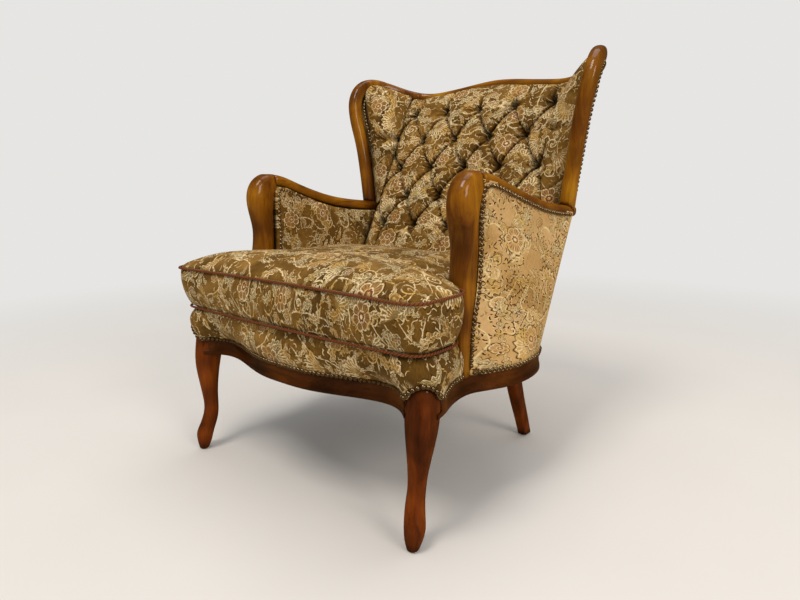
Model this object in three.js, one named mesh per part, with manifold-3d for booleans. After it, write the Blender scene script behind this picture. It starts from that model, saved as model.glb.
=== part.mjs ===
// An upholstered wing armchair in the bergere manner: carved beech show-wood with cabriole front legs,
// a tufted winged back, padded arms, close-nailed covers and a loose T-shaped seat cushion.
// Millimetres, +Z up. The front faces -Y, and the chair is symmetrical about the plane x = 0.
import * as THREE from 'three';
import { mergeVertices } from 'three/addons/utils/BufferGeometryUtils.js';
import Module from 'manifold-3d';

const wasm = await Module();
wasm.setup();
const { lerp } = THREE.MathUtils;

// Clearances and cloth
const FIT = 0.3; // gap left between two pieces that touch
const FABRIC = 5; // a stretched cover with its wadding
const REBATE = FABRIC + FIT; // how deep the cover is let into the wood
const SHEET = 2; // hessian and dust cloth
const CUT_REACH = 60; // how far a cutting block runs past what it cuts

// Heights of the seat frame, each from the one below it
const RAIL_BOTTOM = 235;
const SHOW_HEIGHT = 33; // the bare band of the rails
const SHOW_TOP = RAIL_BOTTOM + SHOW_HEIGHT;
const HIDDEN_HEIGHT = 32; // the part of the rails that the covers hide
const RAIL_TOP = SHOW_TOP + HIDDEN_HEIGHT;
const RAIL_THICKNESS = 28;
const RAIL_EASE = 2; // how much more the hidden part stands back, so that the covers clear it
const BEAD_HEIGHT = 8;
const BEAD_PROUD = 2.5;

// Plan of the seat frame
const SEAT_HALF_WIDTH = 361;
const FOOT_INSET = 41;
const FOOT_X = SEAT_HALF_WIDTH - FOOT_INSET; // half the distance between the front feet
const RECESS_Y = 38; // how far the front rail stands back at its hollows
const FRONT_BOW = 46; // how far the front rail bows out again in the middle
const SIDE_WAIST = 45; // how far the side rail draws in below the arm post
const SIDE_RUN = 320; // from the line of the front feet to the start of the round rear corner
const BACK_Y = 500; // outer face of the back at the seat rails
const SEAT_CORNER = BACK_Y - SIDE_RUN; // radius of the round rear corners
const SEAM_RUN = 9; // straight stretch between the round corner and the seam
const SEAM_X = SEAT_HALF_WIDTH - SEAT_CORNER - SEAM_RUN; // joint of the rails, and seam of the outside covers
const BLOCK_SIZE = 88; // front corner block
const BLOCK_INSET = 14; // how far the block stays below the top and above the bottom of the rails

// Legs and glides
const GLIDE_RADIUS = 9;
const GLIDE_HEIGHT = 3;
const CAP_DROP = 6;
const LEG_CAP = RAIL_TOP - CAP_DROP; // top of the bare wood of a front leg
const LEG_HALF = 34; // half the breadth of the knee across its corners
const LEG_BACK = 27; // how far the knee stands back from the foot
const LEG_IN = 11; // how far the ankle draws in
const HEAD_SIZE = 40; // square head of the front leg, between the rails
const REAR_LEG_SPREAD = 59; // from the seam out to the rear leg
const REAR_LEG_X = SEAM_X + REAR_LEG_SPREAD;
const REAR_LEG_INSET = 26;
const REAR_LEG_Y = BACK_Y - REAR_LEG_INSET; // middle of the rear leg where it meets the rail
const REAR_KICK = 82; // how far the rear foot stands behind that
const REAR_HALF_DEPTH = 20;
const REAR_HALF_WIDTH = 16;
const REAR_HEAD_DEPTH = 24;
const REAR_HEAD_SINK = 8; // how far the head block laps down the leg

// Arms
const ARM_INSET = 30; // from the widest place of the seat in to the widest place of the arms
const ARM_HALF_WIDTH = SEAT_HALF_WIDTH - ARM_INSET;
const ARM_BULGE = 11;
const ARM_OUTER_X = ARM_HALF_WIDTH - ARM_BULGE;
const POST_HEIGHT = 374; // from the rails' bare band up to the top of the arm
const ARM_PEAK = SHOW_TOP + POST_HEIGHT;
const POST_Y = 150; // front of the arm post at its foot
const POST_DEPTH = 60;
const POST_WIDTH = 54;
const POST_JOINT_Y = POST_Y + POST_DEPTH; // joint of the arm post and the arm rail
const COVER_LAP = 8; // how far the outside cover runs in behind the round corner of the post
const COVER_TUCK = 3; // and how far it turns inward there
const ARM_REACH = 106; // how far the arm rail runs back past the back's foot
const ARM_END_Y = BACK_Y + ARM_REACH;
const ARM_DROP = 76; // how far the arm rail falls towards the back
const ARM_WIDTH_FRONT = 54;
const ARM_WIDTH_REAR = 38;
const ARM_HEIGHT_FRONT = 32;
const ARM_HEIGHT_REAR = 27;
const ARM_FALL = 75;
const ARM_LEVEL = ARM_PEAK - ARM_FALL; // where the outside of the arm ends and the wing's begins
const ARM_CORNER = 100;
const ARM_PAD_INSET = 63;
const ARM_PAD_X = ARM_OUTER_X - ARM_PAD_INSET; // inner face of the padded arm beside the cushion
const ARM_HOLLOW = 8; // space between the inner pad and the outside cover

// Wings, crest and the frame inside the back
const WING_FLARE = 19;
const WING_X = ARM_HALF_WIDTH + WING_FLARE;
const WING_SETBACK = 80;
const WING_Y = BACK_Y + WING_SETBACK;
const WING_DEPTH = 198; // from the wing's front post to the middle of the crest
const WING_SINK = 2;
const WING_FOOT_Z = ARM_LEVEL - WING_SINK;
const WING_HEIGHT = 332;
const WOOD_THICK = 34; // wing and crest wood, measured through the back
const WOOD_FACE = 37; // and across its face
const UPRIGHT_INSET = 22;
const UPRIGHT_X = SEAM_X - UPRIGHT_INSET;
const UPRIGHT_WIDTH = 34;
const UPRIGHT_DEPTH = 30;
const TACK_RAIL_LIFT = 45;
const TACK_RAIL_Z = RAIL_TOP + TACK_RAIL_LIFT;
const TACK_RAIL_HEIGHT = 40;

// Padding
const BORDER_HEIGHT = 44;
const BORDER_TOP = RAIL_TOP + BORDER_HEIGHT;
const BORDER_BULGE = 11;
const BORDER_THICK = 22;
const BORDER_TUCK = 6; // how far the border laps over the rail
const BORDER_PROUD = 14;
const BORDER_X = FOOT_X + BORDER_PROUD; // half width of the padded border at its top
const BORDER_Y = -6; // its front at the top
const DECK_TOP = BORDER_TOP;
const DECK_CLEARANCE = 5;
const DECK_HALF_WIDTH = ARM_PAD_X - DECK_CLEARANCE;
const DECK_REAR_GAP = 88;
const DECK_REAR_Y = BACK_Y - DECK_REAR_GAP;
const DECK_RISE = 9; // crown of the springs and of what lies on them
const PAD_DEPTH = 58; // back padding at its fullest, in front of its hessian
const PAD_ROLL = 70; // height over which the padding rolls back to the crest
const PAD_ROLL_DEPTH = 44;
const TUFT_X = 106; // distance between tufts in a row
const TUFT_Z = 74.5; // distance between rows
const TUFT_LIFT = 208; // from the top of the rails up to the lowest row
const TUFT_FIRST_Z = RAIL_TOP + TUFT_LIFT;
const TUFT_ROWS = 5;
const TUFT_DEPTH = 26;
const CREASE_INSET = 2.6;
const BACK_PAD_HALF = ARM_PAD_X - CREASE_INSET;
const WING_PAD_THICK = 20;
const WING_CROWN = 13;

// Loose cushion
const CUSHION_REST = DECK_TOP + FIT;
const SEAM_LIFT = 6;
const CUSHION_LOWER = DECK_TOP + SEAM_LIFT; // height of the lower piping
const BOXING_HEIGHT = 87;
const CUSHION_UPPER = CUSHION_LOWER + BOXING_HEIGHT; // height of the upper piping
const CUSHION_CROWN = 40;
const CUSHION_SWELL = 9;
const CUSHION_HOLLOW = 12; // how far the upper front edge draws in between its corners
const CUSHION_BOW = 8; // how far the lower front edge bows out between its corners
const CUSHION_REAR_GAP = 76;
const CUSHION_REAR_Y = BACK_Y - CUSHION_REAR_GAP;
const CUSHION_CLEARANCE = 11;
const CUSHION_REAR_X = ARM_PAD_X - CUSHION_CLEARANCE;
const WAIST_CLEARANCE = 13;
const CUSHION_WAIST_Y = POST_Y - WAIST_CLEARANCE; // rear edge of the ears in front of the arm posts
const CUSHION_CORNER = 42;
const EAR_UPPER_PROUD = 12;
const EAR_LOWER_PROUD = 4;
const EAR_UPPER_X = BORDER_X + EAR_UPPER_PROUD;
const EAR_LOWER_X = BORDER_X + EAR_LOWER_PROUD;
const EAR_UPPER_Y = -25;
const EAR_LOWER_Y = -8;
const PIPING = 6;
const PIPING_GAP = 0.4;
const PIPING_SAG = 1.2; // how far the lower piping hangs below the edge it covers

// Springs and nails
const SPRING_COUNT = 5;
const SPRING_WIRE = 3.5;
const SPRING_SWING = 20; // half the breadth of a wavy spring
const SPRING_STEP = SPRING_SWING + 2 * SPRING_WIRE; // between its turns
const SPRING_MARGIN = 68; // from the outer spring out to the edge of the deck
const SPRING_SPAN = (2 * (DECK_HALF_WIDTH - SPRING_MARGIN)) / (SPRING_COUNT - 1);
const SPRING_LAP = 6; // how far a spring and the hessian lie over a rail
const NAIL_WIDTH = 8;
const NAIL_HEIGHT = 2.4;
const NAIL_SEAT = 0.5; // from the cover to the back of the nail strip

// Slope of the back, and how square the rings of the wood are: 2 is round, more is squarer
const backLeanShare = 0.49; // backward travel for each unit of height
const legSquareShare = 2.6;
const postSquareShare = 3;
const armSquareShare = 2.8;
const woodSquareShare = 2.8;

// Shares of the front rail: place across the front, and how much of the bow is left there
const frontPlanShares = [
  [0, 1], [0.19, 0.96], [0.375, 0.65], [0.5625, 0.22], [0.734, 0], [0.86, 0.26], [0.94, 0.74],
];
// Shares of the side rail: place along the side, and how much of the waist is taken in there
const sidePlanShares = [
  [0.1, 0.34], [0.19, 0.48], [0.26, 0.67], [0.33, 0.835], [0.45, 0.99], [0.547, 0.95],
  [0.656, 0.58], [0.78, 0.2], [0.89, 0.03], [1, 0],
];
// Shares of the front leg: height, inward place, backward place, half breadth
const legShares = [
  [0, 0, 0, 0.33], [0.034, 0, 0.04, 0.43], [0.065, -0.02, 0.1, 0.515], [0.122, -0.05, 0.17, 0.59],
  [0.17, 0.27, 0.33, 0.57], [0.255, 0.82, 0.63, 0.53], [0.34, 0.8, 0.81, 0.48], [0.425, 0.6, 0.8, 0.52],
  [0.51, 0.38, 0.8, 0.6], [0.646, 0.1, 0.85, 0.78], [0.74, 0.1, 0.95, 0.89], [0.833, 0.2, 1.1, 0.935],
  [1, 0.45, 1.25, 0.86],
];
// Shares of the rear leg: height, kick, half breadth
const rearLegShares = [
  [0, 1, 0.74], [0.2, 0.78, 0.78], [0.4, 0.52, 0.84], [0.6, 0.3, 0.9], [0.8, 0.12, 0.95], [1, 0, 1],
];
// Shares of the arm post: height, front, rear, inner side, outer side
const postShares = [
  [0, 0, 0.47, 0.65, 0.04], [0.22, -0.03, 0.55, 0.74, 0.04], [0.42, 0, 0.87, 0.89, 0.04],
  [0.526, 0.13, 0.92, 0.93, 0.04], [0.647, 0.25, 0.95, 0.96, 0.04], [0.767, 0, 0.93, 1, 0.02],
  [0.86, -0.08, 1.07, 1, 0], [0.93, 0.05, 1.5, 0.98, 0.02], [0.973, 0.3, 1.5, 0.93, 0.07],
  [1, 0.6, 1.45, 0.78, 0.22],
];
// Shares of the arm rail: place along it, drop, outward bulge
const armShares = [
  [0, 0, 0], [0.08, 0.05, 0.18], [0.19, 0.25, 0.64], [0.36, 0.53, 1], [0.54, 0.77, 1],
  [0.74, 0.91, 0.64], [0.93, 0.985, 0.15], [1, 1, -0.27],
];
// Shares of the wing and crest: width, depth, height, turn of its outer side, thickness, face
const frameShares = [
  [0.869, 0, -0.04, 0, 1, 0.97], [0.903, -0.015, 0.256, 0, 1, 0.97], [0.934, -0.03, 0.485, 0, 1, 0.97],
  [0.969, -0.066, 0.669, 0, 1, 1], [1, -0.05, 0.828, 0, 1, 1.03], [1, 0.06, 0.946, 0, 1, 1.03],
  [0.977, 0.253, 1, 0.1, 1, 0.97], [0.909, 0.505, 0.976, 0.3, 1, 0.86], [0.786, 0.742, 0.919, 0.55, 0.96, 0.78],
  [0.614, 0.894, 0.889, 0.8, 0.94, 0.73], [0.371, 0.97, 0.91, 0.95, 0.94, 0.73], [0, 1, 0.949, 1, 0.94, 0.76],
];
const crestJointShare = 8.5 / (frameShares.length - 1);
const crestStartShare = 8 / (frameShares.length - 1);
// Shares of the front border from the middle out to the arm post: foot place across, foot place back,
// lift of its lower edge over the leg, top place across, top place back
const borderShares = [
  [0, -0.06, 0, 0, 0], [0.19, -0.045, 0, 0.187, 0], [0.375, 0.055, 0, 0.375, 0], [0.5625, 0.19, 0, 0.553, 0],
  [0.734, 0.255, 0, 0.705, 0], [0.85, 0.18, 0, 0.8, 0], [0.906, 0.08, 0, 0.862, 0],
  [0.944, 0.01, 0, 0.905, 0.015], [1, -0.02, 0.65, 0.94, 0.055], [1.06, 0.05, 1, 0.972, 0.125],
  [1.0875, 0.16, 0.65, 0.99, 0.225], [1.094, 0.27, 0, 1, 0.33], [1.066, 0.41, 0, 1, 0.46],
  [1.036, 0.56, 0, 0.992, 0.6], [1.0125, 0.71, 0, 0.955, 0.74], [0.988, 1, 0, 0.875, 1],
];
// Shares of the seat deck, from its front: place along it, half width
const deckShares = [
  [0, 0.88], [0.05, 0.94], [0.12, 0.97], [0.19, 0.97], [0.26, 0.89], [0.31, 0.825], [0.34, 0.8], [0.6, 0.8],
  [0.8, 0.8], [1, 0.8],
];

const looks = {
  wood: { color: 0x7a4312, roughness: 0.28, metalness: 0 },
  railWood: { color: 0x4a2409, roughness: 0.3, metalness: 0 },
  innerWood: { color: 0xb08a5a, roughness: 0.7, metalness: 0 },
  velvet: { color: 0x8a6c38, roughness: 0.9, metalness: 0 },
  outsideVelvet: { color: 0xb99468, roughness: 0.9, metalness: 0 },
  piping: { color: 0x7c3a1e, roughness: 0.8, metalness: 0 },
  nails: { color: 0x4c3a26, roughness: 0.4, metalness: 0.8 },
  hessian: { color: 0x9a7f55, roughness: 0.95, metalness: 0 },
  dustCloth: { color: 0x2c2a28, roughness: 0.95, metalness: 0 },
  steel: { color: 0x8c8c88, roughness: 0.4, metalness: 0.9 },
  glide: { color: 0xb9b7b0, roughness: 0.35, metalness: 0.8 },
};

const point = (x, y, z) => new THREE.Vector3(x, y, z);
const swap = (side, p) => point(side * p.x, p.y, p.z);
const range = (count) => Array.from({ length: count + 1 }, (_, step) => step / count);
const curveThrough = (points) => new THREE.CatmullRomCurve3(points, false, 'centripetal');

// The row of a table at a key, read straight between its neighbours
function rowAt(shares, key) {
  const next = shares.findIndex((row) => row[0] >= key);
  if (next <= 0) {
    return next === 0 ? shares[0] : shares[shares.length - 1];
  }
  const [before, after] = [shares[next - 1], shares[next]];
  const mix = (key - before[0]) / (after[0] - before[0]);
  return before.map((value, column) => lerp(value, after[column], mix));
}

// A closed body from corners and faces, turned so that its faces point out
function body(corners, faces) {
  const raw = new THREE.BufferGeometry();
  raw.setAttribute('position', new THREE.Float32BufferAttribute(corners.flatMap((p) => [p.x, p.y, p.z]), 3));
  raw.setIndex(faces);
  return fromGeometry(raw);
}

function fromGeometry(raw) {
  raw.deleteAttribute('normal');
  raw.deleteAttribute('uv');
  const merged = mergeVertices(raw);
  const places = Float32Array.from(merged.attributes.position.array);
  const index = merged.index.array;
  const faces = [];
  let volume = 0;
  for (let start = 0; start < index.length; start += 3) {
    const [a, b, c] = [index[start], index[start + 1], index[start + 2]];
    if (a !== b && b !== c && c !== a) {
      const [p, q, r] = [a, b, c].map((corner) => point(...places.slice(3 * corner, 3 * corner + 3)));
      volume += p.dot(q.cross(r));
      faces.push([a, b, c]);
    }
  }
  const triVerts = Uint32Array.from(faces.flatMap(([a, b, c]) => (volume < 0 ? [a, c, b] : [a, b, c])));
  return new wasm.Manifold(new wasm.Mesh({ numProp: 3, vertProperties: places, triVerts }));
}

// Faces between two rings of a body, given the first corner of each
function joinRings(faces, here, next, count) {
  for (let step = 0; step < count; step += 1) {
    const after = (step + 1) % count;
    faces.push(here + step, here + after, next + after, here + step, next + after, next + step);
  }
}

// A body through a row of rings, with flat ends or closed on itself
function loft(rings, looped = false) {
  const count = rings[0].length;
  const corners = rings.flat();
  const faces = [];
  for (let step = 0; step + 1 < rings.length; step += 1) {
    joinRings(faces, step * count, (step + 1) * count, count);
  }
  if (looped) {
    joinRings(faces, (rings.length - 1) * count, 0, count);
    return body(corners, faces);
  }
  [0, rings.length - 1].forEach((end) => {
    const hub = corners.length;
    const middle = rings[end].reduce((sum, p) => sum.add(p), point(0, 0, 0)).divideScalar(count);
    corners.push(middle);
    for (let step = 0; step < count; step += 1) {
      const [a, b] = [end * count + step, end * count + ((step + 1) % count)];
      faces.push(...(end === 0 ? [hub, b, a] : [hub, a, b]));
    }
  });
  return body(corners, faces);
}

// The corners round the edge of a grid
function gridEdge(rows, columns) {
  const across = Array.from({ length: columns }, (_, column) => column);
  const between = Array.from({ length: rows - 2 }, (_, row) => row + 1);
  return [
    ...across,
    ...between.map((row) => row * columns + columns - 1),
    ...across.slice().reverse().map((column) => (rows - 1) * columns + column),
    ...between.slice().reverse().map((row) => row * columns),
  ];
}

// A body between two grids of points, row by row
function slab(front, back) {
  const columns = front[0].length;
  const behind = front.length * columns;
  const corners = [...front.flat(), ...back.flat()];
  const faces = [];
  const quad = (a, b, c, d) => faces.push(a, b, c, a, c, d);
  for (let row = 0; row + 1 < front.length; row += 1) {
    for (let column = 0; column + 1 < columns; column += 1) {
      const corner = row * columns + column;
      quad(corner, corner + 1, corner + columns + 1, corner + columns);
      quad(behind + corner, behind + corner + columns, behind + corner + columns + 1, behind + corner + 1);
    }
  }
  const edge = gridEdge(front.length, columns);
  edge.forEach((corner, step) => {
    const after = edge[(step + 1) % edge.length];
    quad(after, corner, behind + corner, behind + after);
  });
  return body(corners, faces);
}

// A body behind a grid of points, closed by the flat face that toBack drops its edge on
function quilt(front, toBack) {
  const columns = front[0].length;
  const edge = gridEdge(front.length, columns);
  const corners = front.flat();
  const backEdge = edge.map((corner) => toBack(corners[corner]));
  const faces = [];
  const quad = (a, b, c, d) => faces.push(a, b, c, a, c, d);
  for (let row = 0; row + 1 < front.length; row += 1) {
    for (let column = 0; column + 1 < columns; column += 1) {
      const corner = row * columns + column;
      quad(corner, corner + 1, corner + columns + 1, corner + columns);
    }
  }
  const start = corners.length;
  edge.forEach((corner, step) => {
    const after = (step + 1) % edge.length;
    quad(edge[after], corner, start + step, start + after);
  });
  THREE.ShapeUtils.triangulateShape(backEdge.map((p) => new THREE.Vector2(p.x, p.z)), [])
    .forEach(([a, b, c]) => faces.push(start + a, start + c, start + b));
  return body([...corners, ...backEdge], faces);
}

// What is left of a body when its neighbours are cut away: its largest piece
function carve(piece, ...cutters) {
  const left = cutters.reduce((whole, cutter) => whole.subtract(cutter), piece);
  return left.decompose().sort((one, other) => other.volume() - one.volume())[0];
}

function block(low, high) {
  const size = high.clone().sub(low);
  const box = new THREE.BoxGeometry(size.x, size.y, size.z);
  box.translate((low.x + high.x) / 2, (low.y + high.y) / 2, (low.z + high.z) / 2);
  return fromGeometry(box);
}

// A rounded ring about a centre, between a circle and a rectangle
function roundedRing(centre, across, up, halfAcross, halfUp, squareness, count) {
  const bend = (value) => Math.sign(value) * Math.abs(value) ** (2 / squareness);
  return Array.from({ length: count }, (_, step) => {
    const angle = (2 * Math.PI * (step + 0.5)) / count;
    return centre.clone()
      .addScaledVector(across, halfAcross * bend(Math.cos(angle)))
      .addScaledVector(up, halfUp * bend(Math.sin(angle)));
  });
}

const X = point(1, 0, 0);
const Y = point(0, 1, 0);
const Z = point(0, 0, 1);

// Outline of the seat frame in plan
const frontRight = frontPlanShares.map(
  ([across, bow]) => point(across * FOOT_X, RECESS_Y - bow * FRONT_BOW, 0),
);
const frontCurve = curveThrough([...frontRight.slice(1).reverse().map((p) => swap(-1, p)), ...frontRight]);
const sideCurve = curveThrough(
  sidePlanShares.map(([along, waist]) => point(SEAT_HALF_WIDTH - waist * SIDE_WAIST, along * SIDE_RUN, 0)),
);
const sideSamples = sideCurve.getPoints(64).map((p) => [p.y, p.x]);
const sideX = (y) => rowAt(sideSamples, y)[1];

const backY = (z) => BACK_Y + backLeanShare * (z - SHOW_TOP);

// A rear corner of the plan, from the side round to the seam
function cornerPlan(halfWidth, radius, outerY, z, count) {
  const arc = range(count).map((share) => {
    const angle = (share * Math.PI) / 2;
    return point(halfWidth - radius * (1 - Math.cos(angle)), outerY - radius * (1 - Math.sin(angle)), z);
  });
  return [...arc, point(SEAM_X, outerY, z)];
}

// The normals of a line in plan, pointing into the chair
function inwardNormals(line) {
  return line.map((_, step) => {
    const along = line[Math.min(step + 1, line.length - 1)].clone().sub(line[Math.max(step - 1, 0)]);
    return point(-along.y, along.x, 0).normalize();
  });
}

const RIGHT = 1;
const LEFT = -1;
const sides = [[LEFT, 'left'], [RIGHT, 'right']];

// Seat rails: a bead below, a bare band, and a rebate above it for the covers
function railSection(grow) {
  return [
    [-BEAD_PROUD - grow, RAIL_BOTTOM - grow], [-BEAD_PROUD - grow, RAIL_BOTTOM + BEAD_HEIGHT + grow],
    [-grow, RAIL_BOTTOM + BEAD_HEIGHT + BEAD_PROUD + grow], [-grow, SHOW_TOP + grow],
    [REBATE + RAIL_EASE - grow, SHOW_TOP + grow], [REBATE + RAIL_EASE - grow, RAIL_TOP + grow],
    [RAIL_THICKNESS + grow, RAIL_TOP + grow], [RAIL_THICKNESS + grow, RAIL_BOTTOM - grow],
  ];
}

function railAlong(line, side, grow) {
  const normals = inwardNormals(line);
  return loft(line.map((p, step) => railSection(grow).map(([inset, z]) => {
    const place = p.clone().addScaledVector(normals[step], inset);
    return point(side * place.x, place.y, z);
  })));
}

const sideLine = [
  ...sideCurve.getPoints(14),
  ...cornerPlan(SEAT_HALF_WIDTH, SEAT_CORNER, BACK_Y, 0, 7).slice(1),
];
const frontRailBody = (grow) => railAlong(frontCurve.getPoints(20), RIGHT, grow);
const sideRailBody = (side, grow) => railAlong(sideLine, side, grow);
const backRailBody = (grow) => railAlong([point(SEAM_X, BACK_Y, 0), point(-SEAM_X, BACK_Y, 0)], RIGHT, grow);

// Front leg: a squared cabriole with a square head that fills the corner between the rails
function frontLegBody(side, grow) {
  const flat = 2 ** (0.5 - 1 / legSquareShare); // how much longer the corner reaches than the flat
  const foot = GLIDE_HEIGHT + FIT;
  const rings = legShares.map(([height, inward, back, breadth]) => {
    const centre = point(
      side * (FOOT_X - inward * LEG_IN),
      back * LEG_BACK,
      lerp(foot, LEG_CAP, height) + (height === 1 ? grow : 0),
    );
    const reach = (breadth * LEG_HALF) / flat + grow;
    return roundedRing(centre, X, Y, reach, reach, legSquareShare, 16);
  });
  const headX = FOOT_X - LEG_BACK - FIT;
  const low = point(headX - grow, LEG_BACK - grow, RAIL_BOTTOM - grow);
  const high = point(headX + HEAD_SIZE, LEG_BACK + HEAD_SIZE - BEAD_HEIGHT + grow, RAIL_TOP + grow);
  const corners = [low.x, high.x].map((x) => side * x);
  const head = block(point(Math.min(...corners), low.y, low.z), point(Math.max(...corners), high.y, high.z));
  return loft(rings).add(head);
}

// Rear leg: a square tapering leg that kicks back, with a head block inside the rail
function chamferedRing(centre, halfX, halfY) {
  const cut = halfX / 5;
  const corner = [[1, 1], [-1, 1], [-1, -1], [1, -1]];
  return corner.flatMap(([dx, dy], step) => {
    const near = point(centre.x + dx * halfX, centre.y + dy * (halfY - cut), centre.z);
    const far = point(centre.x + dx * (halfX - cut), centre.y + dy * halfY, centre.z);
    return step % 2 === 0 ? [near, far] : [far, near];
  });
}

const rearHeadShare = 0.2; // of the leg's half depth that the head stands in front of its middle
function rearLegBody(side, grow) {
  const foot = GLIDE_HEIGHT + FIT;
  const rings = rearLegShares.map(([height, kick, breadth]) => chamferedRing(
    point(side * REAR_LEG_X, REAR_LEG_Y + kick * REAR_KICK, lerp(foot, RAIL_BOTTOM - FIT, height)),
    breadth * REAR_HALF_WIDTH + grow,
    breadth * REAR_HALF_DEPTH + grow,
  ));
  const rear = REAR_LEG_Y - REAR_HALF_DEPTH * rearHeadShare;
  const head = block(
    point(
      side * REAR_LEG_X - REAR_HALF_WIDTH - grow, rear - REAR_HEAD_DEPTH - grow, RAIL_BOTTOM - REAR_HEAD_SINK,
    ),
    point(side * REAR_LEG_X + REAR_HALF_WIDTH + grow, rear + grow, RAIL_TOP - BLOCK_INSET / 2),
  );
  return loft(rings).add(head);
}

const glideFlatShare = 0.8; // of a glide's radius that stands flat on the floor
function glideBody(x, y) {
  const profile = [
    [0, 0], [GLIDE_RADIUS * glideFlatShare, 0], [GLIDE_RADIUS, GLIDE_HEIGHT / 2], [GLIDE_RADIUS, GLIDE_HEIGHT],
  ];
  const outline = [...profile, [0, GLIDE_HEIGHT]].map(([radius, z]) => new THREE.Vector2(radius, z));
  const turned = new THREE.LatheGeometry(outline, 12);
  turned.rotateX(Math.PI / 2);
  turned.translate(x, y, 0);
  return fromGeometry(turned);
}

function cornerBlockBody(side) {
  const start = FOOT_X - LEG_BACK;
  const face = RECESS_Y + RAIL_THICKNESS / 2;
  const outer = start + RAIL_THICKNESS;
  const plan = [[start - BLOCK_SIZE, face], [outer, face], [outer, RECESS_Y + BLOCK_SIZE]];
  const heights = [RAIL_BOTTOM + BLOCK_INSET, RAIL_TOP - BLOCK_INSET];
  return loft(heights.map((z) => plan.map(([x, y]) => point(side * x, y, z))));
}

// Arm post and arm rail
const armCorners = 14; // of a section
const postBottom = SHOW_TOP + FIT;
function postRow(z) {
  const [, front, rear, inner, outer] = rowAt(postShares, (z - postBottom) / (ARM_PEAK - postBottom));
  return {
    front: POST_Y + front * POST_DEPTH,
    full: POST_Y + rear * POST_DEPTH,
    rear: Math.min(POST_Y + rear * POST_DEPTH, POST_JOINT_Y),
    inner: ARM_OUTER_X - inner * POST_WIDTH,
    outer: ARM_OUTER_X - outer * POST_WIDTH,
  };
}

function armPostBody(side, grow) {
  const rings = postShares.map(([height], step) => {
    const z = lerp(postBottom, ARM_PEAK, height);
    const { front, full, inner, outer } = postRow(z);
    const ends = step === 0 ? -grow : Number(step === postShares.length - 1) * grow;
    const centre = point(side * (inner + outer) / 2, (front + full) / 2, z + ends);
    const halfWidth = (outer - inner) / 2 + grow;
    const halfDepth = (full - front) / 2 + grow;
    return roundedRing(centre, X, Y, halfWidth, halfDepth, postSquareShare, armCorners);
  });
  const behind = block(
    point(side * ARM_OUTER_X - CUT_REACH, POST_JOINT_Y + grow, ARM_LEVEL),
    point(side * ARM_OUTER_X + CUT_REACH, POST_JOINT_Y + CUT_REACH, ARM_PEAK + CUT_REACH),
  );
  return loft(rings).subtract(behind);
}

const armRun = ARM_END_Y - POST_JOINT_Y - FIT;
function armRow(y) {
  const share = Math.max(0, (y - POST_JOINT_Y - FIT) / armRun);
  const [, drop, bulge] = rowAt(armShares, share);
  const top = ARM_PEAK - drop * ARM_DROP;
  const outer = ARM_OUTER_X + bulge * ARM_BULGE;
  return {
    top,
    outer,
    bottom: top - lerp(ARM_HEIGHT_FRONT, ARM_HEIGHT_REAR, share),
    inner: outer - lerp(ARM_WIDTH_FRONT, ARM_WIDTH_REAR, share),
  };
}

function armRailBody(side, grow) {
  const rings = armShares.map(([along], step) => {
    const ends = step === 0 ? -grow : Number(step === armShares.length - 1) * grow;
    const y = POST_JOINT_Y + FIT + along * armRun;
    const { top, bottom, inner, outer } = armRow(y);
    const centre = point(side * (inner + outer) / 2, y + ends, (top + bottom) / 2);
    const halfWidth = (outer - inner) / 2 + grow;
    const halfHeight = (top - bottom) / 2 + grow;
    return roundedRing(centre, X, Z, halfWidth, halfHeight, armSquareShare, armCorners);
  });
  return loft(rings);
}

// Wing and crest: one line that climbs the wing, turns back over its tip and runs along the top
const framePoints = frameShares.map(([width, depth, height]) => point(
  width * WING_X, WING_Y + depth * WING_DEPTH, WING_FOOT_Z + height * WING_HEIGHT,
));
const pastMiddle = swap(-1, framePoints[framePoints.length - 2]); // keeps the crest level at its middle
const frameCurve = curveThrough([...framePoints, pastMiddle]);
const frameReach = (framePoints.length - 1) / framePoints.length;
const frameTurns = frameShares.map((row, step) => [step / (frameShares.length - 1), ...row.slice(3)]);

function frameAt(share) {
  const [, turn, thick, face] = rowAt(frameTurns, share);
  const along = share >= 1 ? point(-1, 0, 0) : frameCurve.getTangent(share * frameReach);
  const angle = (turn * Math.PI) / 2;
  const out = point(Math.cos(angle), Math.sin(angle), 0);
  out.addScaledVector(along, -out.dot(along)).normalize();
  return {
    centre: frameCurve.getPoint(share * frameReach),
    out,
    inward: along.clone().cross(out).normalize(),
    halfThick: (thick * WOOD_THICK) / 2,
    halfFace: (face * WOOD_FACE) / 2,
  };
}

function frameRing(share, grow) {
  const { centre, out, inward, halfThick, halfFace } = frameAt(share);
  return roundedRing(centre, out, inward, halfThick + grow, halfFace + grow, woodSquareShare, 10);
}

function wingRailBody(side, grow) {
  const rings = range(15).map((share) => frameRing(share * crestJointShare, grow).map((p) => swap(side, p)));
  return loft(rings);
}

function crestRailBody(grow) {
  const right = range(7).map((share) => frameRing(lerp(crestJointShare, 1, share), grow));
  const left = right.slice(0, -1).reverse().map((ring) => ring.map((p) => swap(LEFT, p)));
  return loft([...right, ...left]);
}

// Leaning boxes inside the back: uprights, tack rail, hessian
function leaningBlock(xLow, xHigh, zLow, zHigh, frontInset, rearInset) {
  const ring = (z) => [
    point(xLow, backY(z) - frontInset, z), point(xHigh, backY(z) - frontInset, z),
    point(xHigh, backY(z) - rearInset, z), point(xLow, backY(z) - rearInset, z),
  ];
  return loft([ring(zLow), ring(zHigh)]);
}

// A leaning cloth or cover that runs up to the lower side of the crest
function leaningSheet(reach, low, frontInset, rearInset) {
  const grid = (inset) => range(8).map((across) => {
    const x = lerp(-reach, reach, across);
    return [low, crestHeightAt(x) - crestHalfFace].map((z) => point(x, backY(z) - inset, z));
  });
  return slab(grid(frontInset), grid(rearInset));
}

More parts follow.
